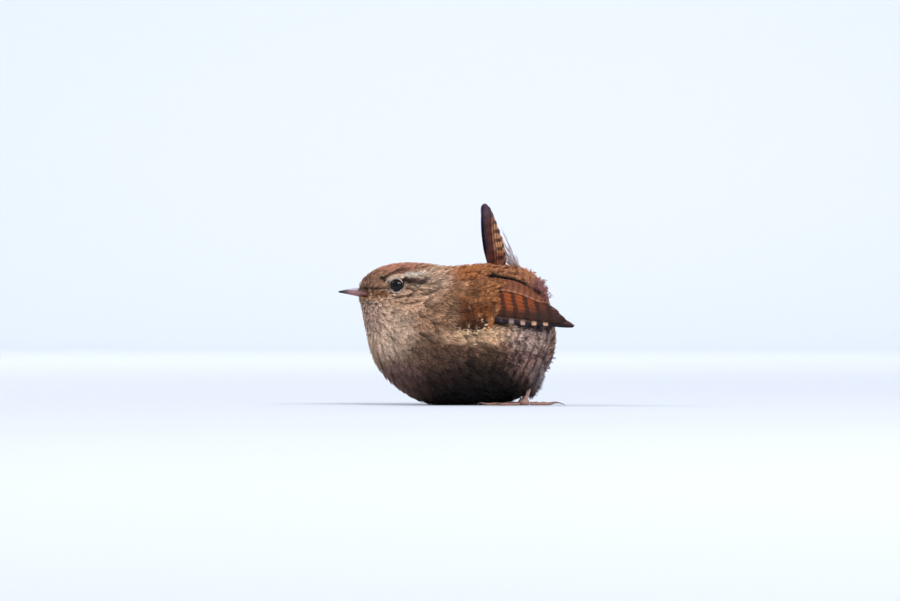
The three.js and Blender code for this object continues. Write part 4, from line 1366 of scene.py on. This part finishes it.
# %% Toes and claws
TOE_SCALE = 0.9
TOE_PADS = 3
for (side_name, side), (toe_name, (turn, length, claw)) in itertools.product(SIDES.items(), TOES.items()):
    a = math.radians(turn) * side
    way = np.array([-math.cos(a), -math.sin(a), 0])
    base = np.array([FOOT["x"], side * FOOT["y"], 0])
    part = np.linspace(0, 1, TOE_ROWS)
    # Pads bulge under each joint.
    radius = scuted(TOE_RADII, length, TOE_SCALE, TOE_ROWS)
    radius = radius * (1 + 0.07 * np.cos(part * 2 * np.pi * TOE_PADS))
    centre = base + way * (TOE_START + length * part)[:, None]
    centre[:, 2] = radius * 0.9
    points, faces = tube(centre, radius)
    piece(f"toe_skin_{toe_name}_{side_name}", points, faces, leg_scale,
          leg_tint(points), replaces=(f"toe_{toe_name}_{side_name}",))
    part = np.linspace(0, 1, CLAW_ROWS)
    size = CLAW["radius"] * (1 - 0.92 * part ** 0.8)
    centre = base + way * (TOE_START + length + CLAW_GAP + claw * part)[:, None]
    centre[:, 2] = mix(CLAW["root"], size, part) + CLAW["arch"] * np.sin(np.pi * part)
    points, faces = tube(centre, size, CLAW_COLUMNS)
    shade = ease(np.repeat(part, CLAW_COLUMNS), 0.2, 1)[:, None]
    tint = mix(linear("#7a5c4f"), linear("#2e2320"), shade)
    piece(f"claw_horn_{toe_name}_{side_name}", points, faces, claw_horn, {"tint": tint},
          replaces=(f"claw_{toe_name}_{side_name}",))

# %% [markdown]
# ## Floor, light and camera
# The floor is pale paper that runs up behind in one sweep, so no edge shows. A plain floor with a
# white sky would show a horizon. Four broad soft lights stand in for a bright sky: a warm key at the
# right in front, a fill at the left behind, one high in front that gives the eye its bright point,
# and one that washes the back of the sweep. The camera is level and far off, with a long lens, so
# the bird keeps its side outline.

# %% Sweep
SWEEP_FRONT, SWEEP_BACK = -3600.0, 2900.0
SWEEP_TOP, SWEEP_BEND, SWEEP_HALF = 3600.0, 500.0, 4200.0
bend = np.linspace(0, np.pi / 2, 24)
profile = [(SWEEP_FRONT, 0.0)]
profile += [(SWEEP_BACK + SWEEP_BEND * math.sin(t), SWEEP_BEND * (1 - math.cos(t))) for t in bend]
profile += [(SWEEP_BACK + SWEEP_BEND, SWEEP_TOP)]
sweep_points = np.array([(x, y, z) for y, z in profile for x in (-SWEEP_HALF, SWEEP_HALF)])
rows = np.arange(len(profile) - 1)[:, None] * 2
sweep_faces = np.concatenate([rows, rows + 1, rows + 3, rows + 2], axis=1)
mesh = bpy.data.meshes.new("sweep")
mesh.from_pydata((sweep_points * MM).tolist(), [], sweep_faces.tolist())
mesh.polygons.foreach_set("use_smooth", np.ones(len(mesh.polygons), bool))
# Studio paper: matt, with a tone that drifts a little over a few metres.
paper, tree, shader = new_material("pale_paper", Roughness=0.9, Specular_IOR_Level=0.1)
grain = node(tree, "ShaderNodeTexNoise", Scale=3.0, Detail=3.0)
wash = node(tree, "ShaderNodeMix", {"data_type": "RGBA"}, i0=grain.outputs["Fac"],
            i6=(*linear("#c5ccd8"), 1.0), i7=(*linear("#cfd5df"), 1.0))
tree.links.new(wash.outputs[2], shader.inputs["Base Color"])
mesh.materials.append(paper)
sweep = bpy.data.objects.new("sweep", mesh)
bpy.context.scene.collection.objects.link(sweep)
print("sweep", len(sweep_points), "points")


# %% Lights and sky
def aimed(way):
    """Turns that point a light, which shines along its own -Z, along a way."""
    flat = math.hypot(way[0], way[1])
    return (math.atan2(flat, -way[2]), 0, math.atan2(-way[0], way[1]))


def soft_light(name, place, target, size, power, colour):
    data = bpy.data.lights.new(name, "AREA")
    data.shape = "DISK"
    data.size = size
    data.energy = power
    data.color = linear(colour)
    lamp = bpy.data.objects.new(name, data)
    lamp.location = np.array(place)
    lamp.rotation_euler = aimed(np.array(target) - np.array(place))
    bpy.context.scene.collection.objects.link(lamp)
    print("light", name, power, "W")


soft_light("key", (1.35, -1.0, 1.75), (0, 0, 0.035), 0.8, 20.0, "#fff6ea")
soft_light("left_fill", (-1.7, 0.7, 1.5), (0, 0, 0.03), 1.2, 22.0, "#fff9f2")
soft_light("catch_light", (0.55, -1.65, 1.7), (0, 0, 0.04), 0.85, 30.0, "#f8f9ff")
soft_light("wall_wash", (0, 1.9, 2.2), (0, 3.3, 0.7), 1.6, 42.0, "#fffdf8")
world = bpy.data.worlds.new("sky")
world.use_nodes = True
world.node_tree.nodes["Background"].inputs["Color"].default_value = (*linear("#eef3fc"), 1.0)
world.node_tree.nodes["Background"].inputs["Strength"].default_value = 0.66
bpy.context.scene.world = world
bpy.context.scene.view_settings.view_transform = "Standard"

# %% Camera: 324 mm of width fill the frame's 900 pixels
FRAME_WIDTH = 0.324
CAMERA_FAR = 2.5
SENSOR = 36.0
camera_data = bpy.data.cameras.new("camera")
camera_data.sensor_width = SENSOR
camera_data.lens = SENSOR * CAMERA_FAR / FRAME_WIDTH
camera_data.clip_end = 20.0
camera = bpy.data.objects.new("camera", camera_data)
camera.location = (-0.0018, -CAMERA_FAR, 0.0376)
camera.rotation_euler = (math.pi / 2, 0, 0)
bpy.context.scene.collection.objects.link(camera)
bpy.context.scene.camera = camera
print("lens", round(camera_data.lens, 1), "mm")
